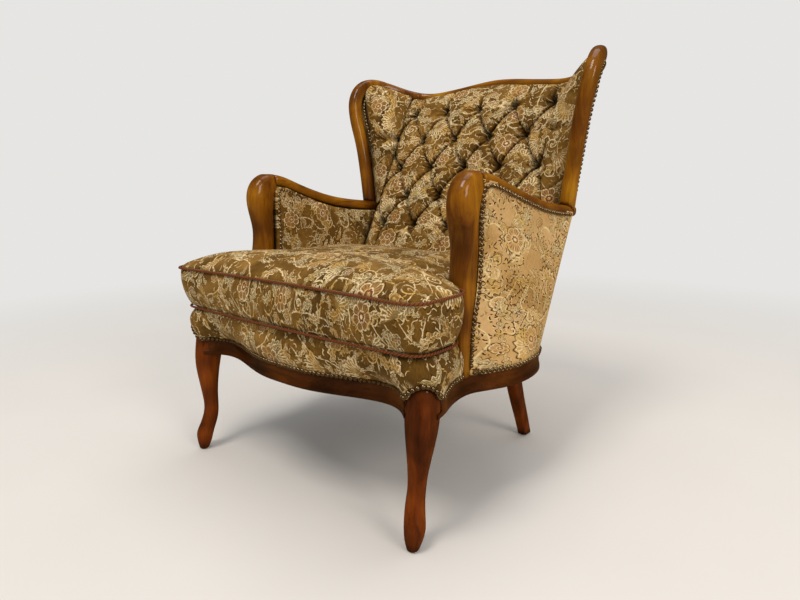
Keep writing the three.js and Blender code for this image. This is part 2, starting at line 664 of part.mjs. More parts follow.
const frameInset = REBATE + UPRIGHT_DEPTH;
const hessianInset = frameInset + FIT + SHEET;
const padInset = hessianInset + FIT;
const crestMiddleZ = WING_FOOT_Z + WING_HEIGHT * frameShares[frameShares.length - 1][2];
const crestHalfFace = (WOOD_FACE * frameShares[frameShares.length - 1][5]) / 2;
const crestHeights = range(30).map((share) => frameAt(lerp(crestStartShare, 1, share)).centre)
  .map((p) => [-p.x, p.z]);
const crestHeightAt = (x) => rowAt(crestHeights, -Math.abs(x))[1];

// How much of the crest's half face an upright stops short of
const uprightLapShare = 0.8;
function uprightBody(side) {
  const [near, far] = [UPRIGHT_X - UPRIGHT_WIDTH / 2, UPRIGHT_X + UPRIGHT_WIDTH / 2].map((x) => side * x);
  const top = crestHeightAt(UPRIGHT_X + UPRIGHT_WIDTH / 2) - crestHalfFace * uprightLapShare;
  return leaningBlock(Math.min(near, far), Math.max(near, far), RAIL_TOP + FIT, top, frameInset, REBATE);
}

function tackRailBody() {
  const reach = UPRIGHT_X - UPRIGHT_WIDTH / 2 - FIT;
  return leaningBlock(-reach, reach, TACK_RAIL_Z, TACK_RAIL_Z + TACK_RAIL_HEIGHT, frameInset, REBATE);
}

function backHessianBody() {
  return leaningSheet(UPRIGHT_X + UPRIGHT_WIDTH / 2, TACK_RAIL_Z, hessianInset, frameInset + FIT);
}

// Outside of the chair from the seat rail up to the arm rail: straight lines between two plans
const shellColumns = 8;
const cornerColumns = 6;
const armShellZ = armRow(ARM_END_Y).bottom + ARM_HEIGHT_REAR / 2;
const shellFoot = [
  ...range(shellColumns).map((share) => {
    const y = lerp(postRow(postBottom).rear + FIT, SIDE_RUN, share);
    return point(sideX(y), y, postBottom);
  }),
  ...cornerPlan(SEAT_HALF_WIDTH, SEAT_CORNER, BACK_Y, postBottom, cornerColumns).slice(1),
];
const shellHead = [
  ...range(shellColumns).map((share) => {
    const y = lerp(POST_JOINT_Y, backY(armShellZ) - ARM_CORNER, share);
    const { outer, top, bottom } = armRow(y);
    return point(outer - FIT, y, (top + bottom) / 2);
  }),
  ...cornerPlan(ARM_HALF_WIDTH - FIT, ARM_CORNER, backY(armShellZ), armShellZ, cornerColumns).slice(1),
];
const shellLast = shellFoot.length - 1;
const shellFootNormals = inwardNormals(shellFoot);
const shellHeadNormals = inwardNormals(shellHead);

// A point of that outside at a column and a share of its height, set in from the surface
function shellPlace(column, share, inset) {
  const [low, high] = [Math.floor(column), Math.min(Math.floor(column) + 1, shellFoot.length - 1)];
  const mix = column - low;
  const foot = shellFoot[low].clone().lerp(shellFoot[high], mix);
  const head = shellHead[low].clone().lerp(shellHead[high], mix);
  const place = foot.lerp(head, share);
  const slack = postRow(place.z).rear + FIT - lerp(shellFoot[0].y, shellHead[0].y, share);
  place.y += slack * Math.max(0, 1 - column / shellColumns) ** 3;
  const normal = shellFootNormals[low].clone().lerp(shellFootNormals[high], mix)
    .lerp(shellHeadNormals[low].clone().lerp(shellHeadNormals[high], mix), share).normalize();
  return place.addScaledVector(normal, inset);
}

// The same point on the surface, with the direction that points out of it
function shellPoint(column, share) {
  const step = 0.02;
  const near = Math.max(column, step);
  const along = shellPlace(Math.min(near + step, shellLast), share, 0).sub(shellPlace(near - step, share, 0));
  const up = shellPlace(column, share + step, 0).sub(shellPlace(column, share, 0));
  return { place: shellPlace(column, share, 0), out: along.cross(up).normalize() };
}

const coverRows = 4;

// The front edge of the outside cover, turned in behind the post
function coverLap(share, inset) {
  const tucked = shellPlace(0, share, inset + COVER_TUCK);
  tucked.y -= COVER_LAP;
  return tucked;
}

function armPanelBody(side, grow) {
  const stretch = 1 + grow / (ARM_LEVEL - SHOW_TOP);
  const row = (share, inset) => [
    coverLap(share, inset), ...shellFoot.map((_, column) => shellPlace(column, share, inset)),
  ];
  const grid = (inset) => range(coverRows).map((share) => row(share * stretch, inset).map((p) => swap(side, p)));
  return slab(grid(-grow), grid(FABRIC + grow));
}

// Outside of the wing, from the arm level up to the wing rail
const wingColumns = 8;
const wingStartShare = 5.6 / (frameShares.length - 1);
const wingEndShare = 9.4 / (frameShares.length - 1);
function outsideOfFrame(share) {
  const { centre, out, halfThick } = frameAt(share);
  return centre.clone().addScaledVector(out, halfThick - FIT);
}

// The patch between four edges: the arm level, the wing rail, the top of the frame and the seam
function wingShell(inset) {
  const corner = cornerPlan(ARM_HALF_WIDTH - FIT, ARM_CORNER, backY(armShellZ), armShellZ + FIT, 12).slice(2);
  const start = outsideOfFrame(0);
  const cornerCurve = curveThrough([point(start.x, start.y, armShellZ + FIT), ...corner.slice(1)]);
  const foot = cornerCurve.getSpacedPoints(wingColumns);
  const head = range(wingColumns).map((share) => outsideOfFrame(lerp(wingStartShare, wingEndShare, share)));
  head[wingColumns].x = SEAM_X;
  const normals = inwardNormals(foot);
  return range(6).map((rise) => {
    const front = rise === 0 ? foot[0] : outsideOfFrame(rise * wingStartShare);
    const straight = foot[0].clone().lerp(head[0], rise);
    return foot.map((p, column) => p.clone().lerp(head[column], rise)
      .addScaledVector(front.clone().sub(straight), 1 - column / wingColumns)
      .addScaledVector(normals[column], inset));
  });
}

function wingPanelBody(side, grow) {
  const grid = (inset) => wingShell(inset).map((row) => row.map((p) => swap(side, p)));
  return slab(grid(-grow), grid(FABRIC + grow));
}

// The outer skin of the same panel, to find places on it
function wingPanelGeometry() {
  const rows = wingShell(0);
  const columns = rows[0].length;
  const skin = new THREE.BufferGeometry().setFromPoints(rows.flat());
  const faces = [];
  for (let row = 0; row + 1 < rows.length; row += 1) {
    for (let column = 0; column + 1 < columns; column += 1) {
      const corner = row * columns + column;
      faces.push(corner, corner + 1, corner + columns + 1, corner, corner + columns + 1, corner + columns);
    }
  }
  return skin.setIndex(faces);
}

function outsideBackBody() {
  return leaningSheet(SEAM_X - FIT, SHOW_TOP + FIT, FABRIC, 0);
}

// Padded arm inside: full beside the cushion, thinner under the arm rail
const armSwellShare = 0.4;
const armTaperShare = 2.2;
const armPadLow = RAIL_TOP + FIT + SHEET;
const armPadHead = (y) => armRow(y).bottom + ARM_HEIGHT_REAR / 2;

// How far out the flat of the inner face is
function armPadFace(y, z) {
  const rise = (z - armPadLow) / (armPadHead(y) - armPadLow);
  return lerp(ARM_PAD_X, armRow(y).inner + FIT, rise ** armTaperShare);
}

function armPadBody(side) {
  const rows = range(6);
  const grid = (inner) => rows.map((rise) => range(8).map((along) => {
    const { rear } = postRow(lerp(armPadLow, ARM_LEVEL, rise));
    const head = lerp(armPadLow, armPadHead(lerp(POST_JOINT_Y, ARM_END_Y, along)), rise);
    const y = lerp(rear + FIT, backY(head) - frameInset - RAIL_THICKNESS, along);
    const rail = armRow(y);
    if (inner) {
      const swell = BORDER_BULGE * Math.sin(Math.PI * rise) * Math.sin(Math.PI * along) * armSwellShare;
      return point(side * (lerp(ARM_PAD_X, rail.inner + FIT, rise ** armTaperShare) - swell), y, head);
    }
    const cover = FABRIC + ARM_HOLLOW;
    const radius = lerp(SEAT_CORNER, ARM_CORNER, rise);
    const turned = Math.max(0, y - lerp(SIDE_RUN, backY(armShellZ) - ARM_CORNER, rise));
    const drawnIn = radius - Math.sqrt(Math.max(0, radius ** 2 - turned ** 2));
    return point(side * (lerp(sideX(y), rail.outer, rise) - drawnIn - cover), y, head);
  }));
  return slab(grid(true), grid(false));
}

// Tufted back: pillows between tufts that are drawn in, and upright pleats above and below them
const halfTuft = TUFT_X / 2;
const creaseShare = 0.4; // the lower, the sharper the creases between the pillows
const tuftTop = TUFT_FIRST_Z + TUFT_Z * (TUFT_ROWS - 1);
function pillow(x, z) {
  const rise = THREE.MathUtils.clamp(z, TUFT_FIRST_Z, tuftTop) - TUFT_FIRST_Z;
  const [one, other] = [x / TUFT_X + rise / (2 * TUFT_Z), x / TUFT_X - rise / (2 * TUFT_Z)];
  const crease = Math.abs(Math.sin(Math.PI * one) * Math.sin(Math.PI * other));
  return crease ** creaseShare;
}

function backPadBody() {
  const step = halfTuft / 2;
  const reach = Math.floor(BACK_PAD_HALF / step);
  const inner = Array.from({ length: 2 * reach + 1 }, (_, column) => (column - reach) * step);
  const columns = [-BACK_PAD_HALF, ...inner, BACK_PAD_HALF];
  const rowStep = TUFT_Z / 3;
  const bottom = hessianHigh(DECK_REAR_Y) + FIT;
  const below = Math.floor((TUFT_FIRST_Z - bottom) / rowStep);
  const above = Math.floor((Math.min(...columns.map(crestHeightAt)) - FIT - TUFT_FIRST_Z) / rowStep);
  const heights = Array.from({ length: below + above }, (_, row) => TUFT_FIRST_Z + (row + 1 - below) * rowStep);
  const surface = (x, z) => {
    const roll = THREE.MathUtils.clamp((z - (crestMiddleZ - PAD_ROLL)) / PAD_ROLL, 0, 1);
    const depth = PAD_DEPTH - TUFT_DEPTH * (1 - pillow(x, z)) * (1 - roll) - PAD_ROLL_DEPTH * roll ** 2;
    return point(x, backY(z) - padInset - depth, z);
  };
  const rows = [bottom, ...heights].map((z) => columns.map((x) => surface(x, z)));
  rows.push(columns.map((x) => surface(x, crestHeightAt(x))));
  return quilt(rows, (p) => point(p.x, backY(p.z) - padInset, p.z));
}

// Padded wing inside, from the wing post to the crease beside the back
const wingPadStartShare = 5.3 / (frameShares.length - 1);
const wingPadEndShare = 8.3 / (frameShares.length - 1);
const wingFacing = point(0.8, 0.6, 0); // the way that the pad's thickness runs, between back and side
function wingPadBody(side) {
  const foot = ARM_LEVEL + BEAD_HEIGHT;
  const creaseX = BACK_PAD_HALF + FIT;
  const start = frameAt(0).centre;
  const grid = (thick) => range(7).map((rise) => range(7).map((along) => {
    const low = point(
      lerp(start.x - WOOD_THICK / 2 + FIT, creaseX, along),
      lerp(start.y + BEAD_HEIGHT, backY(foot) - padInset - PAD_DEPTH + BEAD_HEIGHT, along),
      foot,
    );
    const top = frameAt(lerp(wingPadStartShare, wingPadEndShare, along));
    const high = top.centre.clone().addScaledVector(top.out, -BEAD_HEIGHT);
    high.x = Math.max(high.x, creaseX);
    const place = low.lerp(high, rise);
    const crown = WING_CROWN * Math.sin(Math.PI * along) * Math.sin(Math.PI * rise);
    place.addScaledVector(wingFacing, thick - crown);
    return point(side * Math.max(place.x, creaseX), place.y, place.z);
  }));
  return slab(grid(0), grid(WING_PAD_THICK));
}

// Padded front border, round both front corners from one arm post to the other
const borderRight = borderShares.map(([footX, footY, lift, topX, topY]) => {
  const run = POST_Y - FIT;
  return {
    foot: point(footX * FOOT_X, footY * run, postBottom + lift * (LEG_CAP - SHOW_TOP)),
    top: point(topX * BORDER_X, lerp(BORDER_Y, run, topY), BORDER_TOP),
  };
});
const borderStations = [
  ...borderRight.slice(1).reverse().map(({ foot, top }) => ({ foot: swap(LEFT, foot), top: swap(LEFT, top) })),
  ...borderRight,
];
const borderFootNormals = inwardNormals(borderStations.map(({ foot }) => foot));
const borderTopNormals = inwardNormals(borderStations.map(({ top }) => top));

function borderPoint(step, share, inset) {
  const { foot, top } = borderStations[step];
  const normal = borderFootNormals[step].clone().lerp(borderTopNormals[step], share).normalize();
  return foot.clone().lerp(top, share).addScaledVector(normal, inset);
}

function borderBody(grow) {
  const rises = range(3);
  const rings = borderStations.map((_, step) => {
    const foot = borderPoint(step, 0, REBATE + BORDER_TUCK + grow);
    return [
      ...rises.map((share) => borderPoint(step, share, -BORDER_BULGE * Math.sin(Math.PI * share))),
      borderPoint(step, 1, BORDER_THICK + grow),
      point(foot.x, foot.y, RAIL_TOP + FIT),
      foot,
    ];
  });
  return loft(rings);
}

// Springs, hessian, deck pad and dust cloth of the seat
const frontSamples = frontCurve.getPoints(60).map((p) => [p.x, p.y]);
const frontInnerY = (x) => rowAt(frontSamples, x)[1] + RAIL_THICKNESS;
const springStart = frontInnerY(0) - SPRING_LAP;
const springEnd = BACK_Y - RAIL_THICKNESS + SPRING_LAP;
const deckRise = (y) => DECK_RISE * Math.sin((Math.PI * (y - springStart)) / (springEnd - springStart));

function springBody(x) {
  const start = frontInnerY(x) - SPRING_LAP;
  const turns = 2 * Math.round((springEnd - start) / (2 * SPRING_STEP));
  const line = range(2 * turns).map((share) => {
    const y = lerp(start, springEnd, share);
    const height = RAIL_TOP + FIT + SPRING_WIRE / 2 + deckRise(y);
    return point(x + SPRING_SWING * Math.sin(Math.PI * turns * share), y, height);
  });
  const rings = line.map((p, step) => {
    const along = line[Math.min(step + 1, line.length - 1)].clone().sub(line[Math.max(step - 1, 0)]).normalize();
    const across = along.clone().cross(Z).normalize();
    return roundedRing(p, across, across.clone().cross(along), SPRING_WIRE / 2, SPRING_WIRE / 2, 2, 4);
  });
  return loft(rings);
}

function seatHessianBody() {
  const grid = (heightAt) => range(8).map((across) => range(6).map((along) => {
    const x = lerp(-DECK_HALF_WIDTH, DECK_HALF_WIDTH, across);
    const y = lerp(frontInnerY(x), springEnd, along);
    return point(x, y, heightAt(y));
  }));
  return slab(grid(hessianHigh), grid(hessianLow));
}

// The padded deck under the cushion widens in front of the arm posts as the cushion does
function deckPadBody() {
  const start = BORDER_Y + BORDER_THICK + 2 * FIT;
  const grid = (heightAt) => deckShares.map(([along, width]) => range(6).map((across) => {
    const y = lerp(start, DECK_REAR_Y, along);
    return point(lerp(-1, 1, across) * width * (BORDER_X - BORDER_THICK), y, heightAt(y));
  }));
  return slab(grid(() => DECK_TOP), grid((y) => hessianHigh(y) + 2 * FIT));
}

const hessianLow = (y) => RAIL_TOP + 2 * FIT + SPRING_WIRE + deckRise(y);
const hessianHigh = (y) => hessianLow(y) + SHEET;

function dustCoverBody() {
  const inset = RAIL_THICKNESS / 2;
  const line = [...frontCurve.getPoints(16), ...sideLine];
  const normals = inwardNormals(line);
  const right = line.map((p, step) => p.clone().addScaledVector(normals[step], inset)).filter((p) => p.x > 0);
  const plan = [...right, ...right.slice().reverse().map((p) => swap(LEFT, p))];
  return loft([RAIL_BOTTOM - FIT - SHEET, RAIL_BOTTOM - FIT].map((z) => plan.map((p) => point(p.x, p.y, z))));
}

// Loose cushion: a T in plan, crowned above, with its boxing swollen between two pipings
const earCornerShare = 1.5;
function cushionOutline(earX, earY, hollow, inset) {
  const shape = new THREE.Shape();
  const corner = CUSHION_CORNER;
  const earCorner = earCornerShare * corner; // at the outer rear corner of each ear
  const [rearX, rearY, waistY] = [CUSHION_REAR_X - inset, CUSHION_REAR_Y - inset, CUSHION_WAIST_Y - inset];
  const frontY = earY + hollow;
  shape.moveTo(0, frontY);
  shape.quadraticCurveTo((earX - corner) / 2, frontY, earX - corner, earY);
  shape.quadraticCurveTo(earX, earY, earX, earY + corner);
  shape.lineTo(earX, waistY - earCorner);
  shape.quadraticCurveTo(earX, waistY, earX - earCorner, waistY);
  shape.lineTo(rearX + corner / 4, waistY);
  shape.quadraticCurveTo(rearX, waistY, rearX, waistY + corner / 4);
  shape.lineTo(rearX, rearY - corner);
  shape.quadraticCurveTo(rearX, rearY, rearX - corner, rearY);
  shape.lineTo(0, rearY);
  const right = shape.getPoints(4);
  return [...right, ...right.slice(1, -1).reverse().map((p) => new THREE.Vector2(-p.x, p.y))];
}

const upperEdge = cushionOutline(EAR_UPPER_X, EAR_UPPER_Y, CUSHION_HOLLOW, 0);
const lowerEdge = cushionOutline(EAR_LOWER_X, EAR_LOWER_Y, -CUSHION_BOW, PIPING);

// Directions out of a closed outline
function edgeNormals(outline) {
  return outline.map((_, step) => {
    const before = outline[(step + outline.length - 1) % outline.length];
    const along = outline[(step + 1) % outline.length].clone().sub(before).normalize();
    return new THREE.Vector2(along.y, -along.x);
  });
}

const bandShares = [0.25, 0.5, 0.75];
const crownShares = [0.97, 0.86, 0.6, 0.25]; // of the upper edge, in each ring of the crown
const crownFullShares = [2.6, 0.8]; // how full the crown is towards its edge and its middle
const restShares = [0.3, 0.93]; // of the lower edge, where the cushion lies flat
function cushionBody() {
  const centre = new THREE.Vector2(0, CUSHION_WAIST_Y - CUSHION_CORNER / 2);
  const ring = (outline, scale, z) => outline.map((p) => {
    const place = p.clone().sub(centre).multiplyScalar(scale).add(centre);
    return point(place.x, place.y, z);
  });
  const band = bandShares.map((share) => {
    const edge = lowerEdge.map((p, step) => p.clone().lerp(upperEdge[step], share));
    const swell = CUSHION_SWELL * Math.sin(Math.PI * share) * (1 - share);
    const swollen = edgeNormals(edge).map((normal, step) => normal.multiplyScalar(swell).add(edge[step]));
    return ring(swollen, 1, lerp(CUSHION_LOWER, CUSHION_UPPER, share));
  });
  const [edgeFull, middleFull] = crownFullShares;
  const crown = crownShares.map((scale) => ring(
    upperEdge, scale, CUSHION_UPPER + CUSHION_CROWN * (1 - scale ** edgeFull) ** middleFull,
  ));
  return loft([
    ...restShares.map((scale) => ring(lowerEdge, scale, CUSHION_REST)), ring(lowerEdge, 1, CUSHION_LOWER),
    ...band, ring(upperEdge, 1, CUSHION_UPPER), ...crown,
  ]);
}

function pipingBody(outline, z) {
  const radius = PIPING / 2;
  const rings = edgeNormals(outline).map((normal, step) => {
    const out = point(normal.x, normal.y, 0);
    const centre = point(outline[step].x, outline[step].y, z).addScaledVector(out, radius + PIPING_GAP);
    return roundedRing(centre, out, Z, radius, radius, 2, 5);
  });
  return loft(rings, true);
}

// A strip of close nails along a line that lies on a cover
function nailStrip(line, grow = 0) {
  const last = line.length - 1;
  const rings = line.map(({ place, out }, step) => {
    const along = line[Math.min(step + 1, last)].place.clone().sub(line[Math.max(step - 1, 0)].place).normalize();
    const across = along.clone().cross(out).normalize();
    const ends = step === 0 ? -grow : Number(step === last) * grow;
    const reach = NAIL_WIDTH / 2 + 3 * grow;
    const [inner, outer] = [NAIL_SEAT - grow, NAIL_SEAT + NAIL_HEIGHT + 3 * grow];
    const corner = (side, level) => place.clone().addScaledVector(along, ends)
      .addScaledVector(across, side * reach).addScaledVector(out, level);
    return [corner(-1, inner), corner(1, inner), corner(0, outer)];
  });
  return loft(rings);
}

const mirrorLine = (side, line) => line.map(
  ({ place, out }) => ({ place: swap(side, place), out: swap(side, out) }),
);

function frontNailLine() {
  const feet = borderStations.map((_, step) => borderPoint(step, 0, 0));
  return feet.map((foot, step) => {
    const up = borderPoint(step, 1 / 3, -BORDER_BULGE * Math.sin(Math.PI / 3)).sub(foot).normalize();
    const along = feet[Math.min(step + 1, feet.length - 1)].clone().sub(feet[Math.max(step - 1, 0)]);
    return {
      place: foot.clone().addScaledVector(up, NAIL_WIDTH / 2 + FIT),
      out: along.cross(up).normalize(),
    };
  });
}

const nailInset = NAIL_WIDTH / 2 / (ARM_LEVEL - SHOW_TOP);
const nailColumnShare = 0.2;
const armNailTopShare = 0.967;
const armNailBend = { lapShare: 0.88, columnShares: [0.1, 0.35], heightShare: 0.935 };
const nailStartShare = 0.035;
const sideNailLine = () => shellFoot.map((_, column) => shellPoint(Math.max(column, nailColumnShare), nailInset));

// The middle of the strip of cover that turns in behind the post
function coverLapPoint(share) {
  const low = Math.floor(share * coverRows) / coverRows;
  const between = (make) => make(low).lerp(make(low + 1 / coverRows), (share - low) * coverRows);
  const edge = between((row) => coverLap(row, 0));
  const corner = between((row) => shellPlace(0, row, 0));
  const up = coverLap(low + 1 / coverRows, 0).sub(coverLap(low, 0));
  return { place: corner.clone().lerp(edge, 1 / 2), out: corner.sub(edge).cross(up).normalize() };
}

function armNailLine() {
  const { lapShare, columnShares: [bend, start], heightShare } = armNailBend;
  const first = 4 * nailInset;
  const rows = range(coverRows).filter((share) => share > first && share < lapShare);
  return [
    ...[first, ...rows, lapShare].map(coverLapPoint),
    shellPoint(bend, heightShare),
    ...range(shellColumns).map((share) => shellPoint(lerp(start, shellColumns, share), armNailTopShare)),
    shellPoint(shellColumns + 0.5, armNailTopShare),
  ];
}

// Up the inner corner of the post from above the cushion, then back under the arm rail
function armInnerNailLine() {
  const out = point(-1, 0, 0);
  const under = range(10).map((share) => {
    const y = lerp(POST_JOINT_Y + NAIL_WIDTH, WING_Y - NAIL_WIDTH, share);
    const { bottom, inner } = armRow(y);
    return { place: point(inner + NAIL_SEAT + NAIL_HEIGHT, y, bottom - NAIL_WIDTH / 2 - FIT), out };
  });
  const upright = range(4).slice(0, -1).map((share) => {
    const z = lerp(CUSHION_UPPER + NAIL_WIDTH, under[0].place.z, share);
    const y = postRow(z).rear + FIT + NAIL_WIDTH / 2;
    return { place: point(armPadFace(y, z) + NAIL_SEAT + NAIL_HEIGHT / 2, y, z), out };
  });
  return [...upright, ...under];
}

function wingInnerNailLine() {
  return range(16).map((share) => {
    const { centre, out, inward, halfThick, halfFace } = frameAt(lerp(nailStartShare, crestJointShare, share));
    const place = centre.clone().addScaledVector(inward, halfFace + NAIL_WIDTH / 2 + FIT)
      .addScaledVector(out, NAIL_HEIGHT - halfThick);
    return { place, out: out.clone().negate() };
  });
}

// The outer nails of the wing follow its cover: each is dropped on it from outside
function wingOuterNailLine() {
  const cover = new THREE.Mesh(wingPanelGeometry(), new THREE.MeshBasicMaterial({ side: THREE.DoubleSide }));
  return range(16).map((share) => {
    const { centre, out, inward, halfFace } = frameAt(lerp(nailStartShare, crestJointShare, share));
    const above = centre.clone().addScaledVector(inward, halfFace + NAIL_WIDTH / 2 + FIT)
      .addScaledVector(out, CUT_REACH);
    const [hit] = new THREE.Raycaster(above, out.clone().negate()).intersectObject(cover);
    return { place: hit.point, out };
  });
}

// Assembly
const chair = new THREE.Group();

function place(name, solid, look) {
  const { vertProperties, triVerts } = solid.getMesh();
  const geometry = new THREE.BufferGeometry();
  geometry.setAttribute('position', new THREE.BufferAttribute(Float32Array.from(vertProperties), 3));
  geometry.setIndex(new THREE.BufferAttribute(Uint32Array.from(triVerts), 1));
  geometry.computeVertexNormals();
  const mesh = new THREE.Mesh(geometry, new THREE.MeshStandardMaterial(look));
  mesh.name = name;
  chair.add(mesh);
}

const bothSides = (make) => Object.fromEntries(sides.map(([side]) => [side, make(side)]));
const legCut = bothSides((side) => frontLegBody(side, FIT));
const rearLegCut = bothSides((side) => rearLegBody(side, FIT));
const sideRailCut = bothSides((side) => sideRailBody(side, FIT));
const postCut = bothSides((side) => armPostBody(side, FIT));
const armRailCut = bothSides((side) => armRailBody(side, FIT));
const wingRailCut = bothSides((side) => wingRailBody(side, FIT));
const armPanelCut = bothSides((side) => armPanelBody(side, FIT));
const wingPanelCut = bothSides((side) => wingPanelBody(side, FIT));
const frontRailCut = frontRailBody(FIT);
const backRailCut = backRailBody(FIT);
const crestCut = crestRailBody(FIT);
const nailLines = {
  arm_nails_outer: armNailLine(),
  side_nails: sideNailLine(),
  arm_nails_inner: armInnerNailLine(),
  wing_nails_inner: wingInnerNailLine(),
  wing_nails_outer: wingOuterNailLine(),
};
const nailCut = bothSides((side) => Object.fromEntries(
  Object.entries(nailLines).map(([name, line]) => [name, nailStrip(mirrorLine(side, line), FIT)]),
));

place('front_seat_rail', carve(frontRailBody(0), legCut[LEFT], legCut[RIGHT]), looks.railWood);
place('back_seat_rail', backRailBody(0), looks.railWood);
sides.forEach(([side, word]) => {
  place(`front_leg_${word}`, frontLegBody(side, 0), looks.wood);
  place(`front_glide_${word}`, glideBody(side * FOOT_X, 0), looks.glide);
  place(`rear_leg_${word}`, carve(rearLegBody(side, 0), sideRailCut[side]), looks.wood);
  place(`rear_glide_${word}`, glideBody(side * REAR_LEG_X, REAR_LEG_Y + REAR_KICK), looks.glide);
  place(`side_seat_rail_${word}`, carve(sideRailBody(side, 0), legCut[side]), looks.railWood);
  place(`corner_block_${word}`,
    carve(cornerBlockBody(side), frontRailCut, sideRailCut[side], legCut[side]), looks.innerWood);
  place(`arm_post_${word}`, carve(armPostBody(side, 0), sideRailCut[side]), looks.wood);
  place(`arm_rail_${word}`, armRailBody(side, 0), looks.wood);
  place(`wing_rail_${word}`, carve(wingRailBody(side, 0), armRailCut[side]), looks.wood);
  place(`back_upright_${word}`, carve(uprightBody(side), crestCut, wingRailCut[side]), looks.innerWood);
  place(`arm_outside_cover_${word}`,
    carve(armPanelBody(side, 0), postCut[side], armRailCut[side], sideRailCut[side],
      nailCut[side].arm_nails_outer), looks.outsideVelvet);
  place(`wing_outside_cover_${word}`,
    carve(wingPanelBody(side, 0), armRailCut[side], armPanelCut[side], wingRailCut[side], crestCut,
      nailCut[side].wing_nails_outer, nailCut[side].wing_nails_inner), looks.outsideVelvet);
  place(`arm_pad_${word}`,
    carve(armPadBody(side), postCut[side], armRailCut[side], sideRailCut[side], armPanelCut[side],
      wingPanelCut[side], nailCut[side].arm_nails_inner), looks.velvet);
  place(`wing_pad_${word}`,
    carve(wingPadBody(side), armRailCut[side], wingRailCut[side], crestCut, armPanelCut[side], wingPanelCut[side],
      nailCut[side].arm_nails_inner, nailCut[side].wing_nails_inner), looks.velvet);
  Object.entries(nailLines).forEach(([name, line]) => {
    place(`${name}_${word}`, nailStrip(mirrorLine(side, line)), looks.nails);
  });
});
place('crest_rail', crestRailBody(0), looks.wood);
place('back_tack_rail', tackRailBody(), looks.innerWood);
place('back_hessian', carve(backHessianBody(), crestCut), looks.hessian);
place('outside_back_cover', carve(outsideBackBody(), crestCut, backRailCut), looks.outsideVelvet);
const backPadCutters = [
  crestCut, wingRailCut[LEFT], wingRailCut[RIGHT], wingPanelCut[LEFT], wingPanelCut[RIGHT],
  nailCut[LEFT].wing_nails_inner, nailCut[RIGHT].wing_nails_inner,
];
place('back_pad', carve(backPadBody(), ...backPadCutters), looks.velvet);
place('front_border_pad', carve(borderBody(0), frontRailCut, sideRailCut[LEFT], sideRailCut[RIGHT],
  legCut[LEFT], legCut[RIGHT], postCut[LEFT], postCut[RIGHT], nailStrip(frontNailLine(), FIT)), looks.velvet);
place('front_nails', nailStrip(frontNailLine()), looks.nails);
Array.from({ length: SPRING_COUNT }, (_, step) => place(
  `seat_spring_${step + 1}`, springBody((step - (SPRING_COUNT - 1) / 2) * SPRING_SPAN), looks.steel,
));
place('seat_hessian', seatHessianBody(), looks.hessian);
place('seat_deck_pad', carve(deckPadBody(), borderBody(FIT)), looks.velvet);
place('dust_cover', carve(dustCoverBody(), legCut[LEFT], legCut[RIGHT], rearLegCut[LEFT], rearLegCut[RIGHT]),
  looks.dustCloth);
place('seat_cushion', cushionBody(), looks.velvet);
place('cushion_piping_upper', pipingBody(upperEdge, CUSHION_UPPER), looks.piping);
place('cushion_piping_lower', pipingBody(lowerEdge, CUSHION_LOWER - PIPING_SAG), looks.piping);

// The origin is on the floor, under the middle of the chair
const bounds = new THREE.Box3().setFromObject(chair);
chair.position.y = -(bounds.min.y + bounds.max.y) / 2;

export default chair;
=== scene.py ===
# Looks of an upholstered wing armchair in the bergere manner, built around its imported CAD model.
# Lengths in the tables and constants are millimetres in the chair's own frame: +Z up, the front faces -Y,
# y = 0 at the line of the front feet. They are turned into metres in the row frame where meshes are made.
# The camera's and lamps' places, the floor's size and every length in a material are in metres.
import math
import random
import bmesh
import bpy
import numpy as np
from mathutils import Matrix, Vector, kdtree
from mathutils.bvhtree import BVHTree

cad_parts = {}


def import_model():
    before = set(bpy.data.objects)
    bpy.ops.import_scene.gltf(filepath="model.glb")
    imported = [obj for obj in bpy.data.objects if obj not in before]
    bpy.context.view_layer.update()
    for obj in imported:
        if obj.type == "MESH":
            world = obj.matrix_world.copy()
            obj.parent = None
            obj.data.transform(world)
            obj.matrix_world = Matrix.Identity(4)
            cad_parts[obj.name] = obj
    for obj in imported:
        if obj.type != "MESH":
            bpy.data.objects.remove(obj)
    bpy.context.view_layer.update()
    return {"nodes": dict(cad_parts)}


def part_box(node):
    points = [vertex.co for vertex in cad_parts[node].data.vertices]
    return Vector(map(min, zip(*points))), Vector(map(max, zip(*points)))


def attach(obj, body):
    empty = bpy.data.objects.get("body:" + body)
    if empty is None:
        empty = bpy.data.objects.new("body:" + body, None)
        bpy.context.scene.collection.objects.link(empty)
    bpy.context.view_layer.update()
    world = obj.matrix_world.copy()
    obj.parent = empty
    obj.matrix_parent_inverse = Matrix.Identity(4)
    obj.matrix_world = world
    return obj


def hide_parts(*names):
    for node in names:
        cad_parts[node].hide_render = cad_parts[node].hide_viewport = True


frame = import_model()

MM = 0.001
LEFT, RIGHT = -1, 1
SIDES = [(LEFT, "left"), (RIGHT, "right")]
glide_low, glide_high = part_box("front_glide_left")
SHIFT_Y = (glide_low.y + glide_high.y) / 2  # the row frame's y of the line of the front feet

# Camera of the photograph
CAMERA_PLACE = (0.9032, -0.7226, 0.6255)
CAMERA_TURN = 40.1  # degrees to the left of +Y
CAMERA_PITCH = 11.31  # degrees below the horizon
CAMERA_ROLL = 0.39
CAMERA_LENS = 27.0
SENSOR = 36.0

# Seat frame and legs
FIT = 0.3
FABRIC = 5.0
REBATE = FABRIC + FIT
SHOW_TOP = 268.0
RAIL_TOP = 300.0
FOOT_X = 320.0
SEAT_HALF_WIDTH = 361.0
SIDE_WAIST = 45.0
SIDE_RUN = 320.0
BACK_Y = 500.0
BACK_LEAN = 0.49
SEAM_X = 172.0
LEG_CAP = 294.0

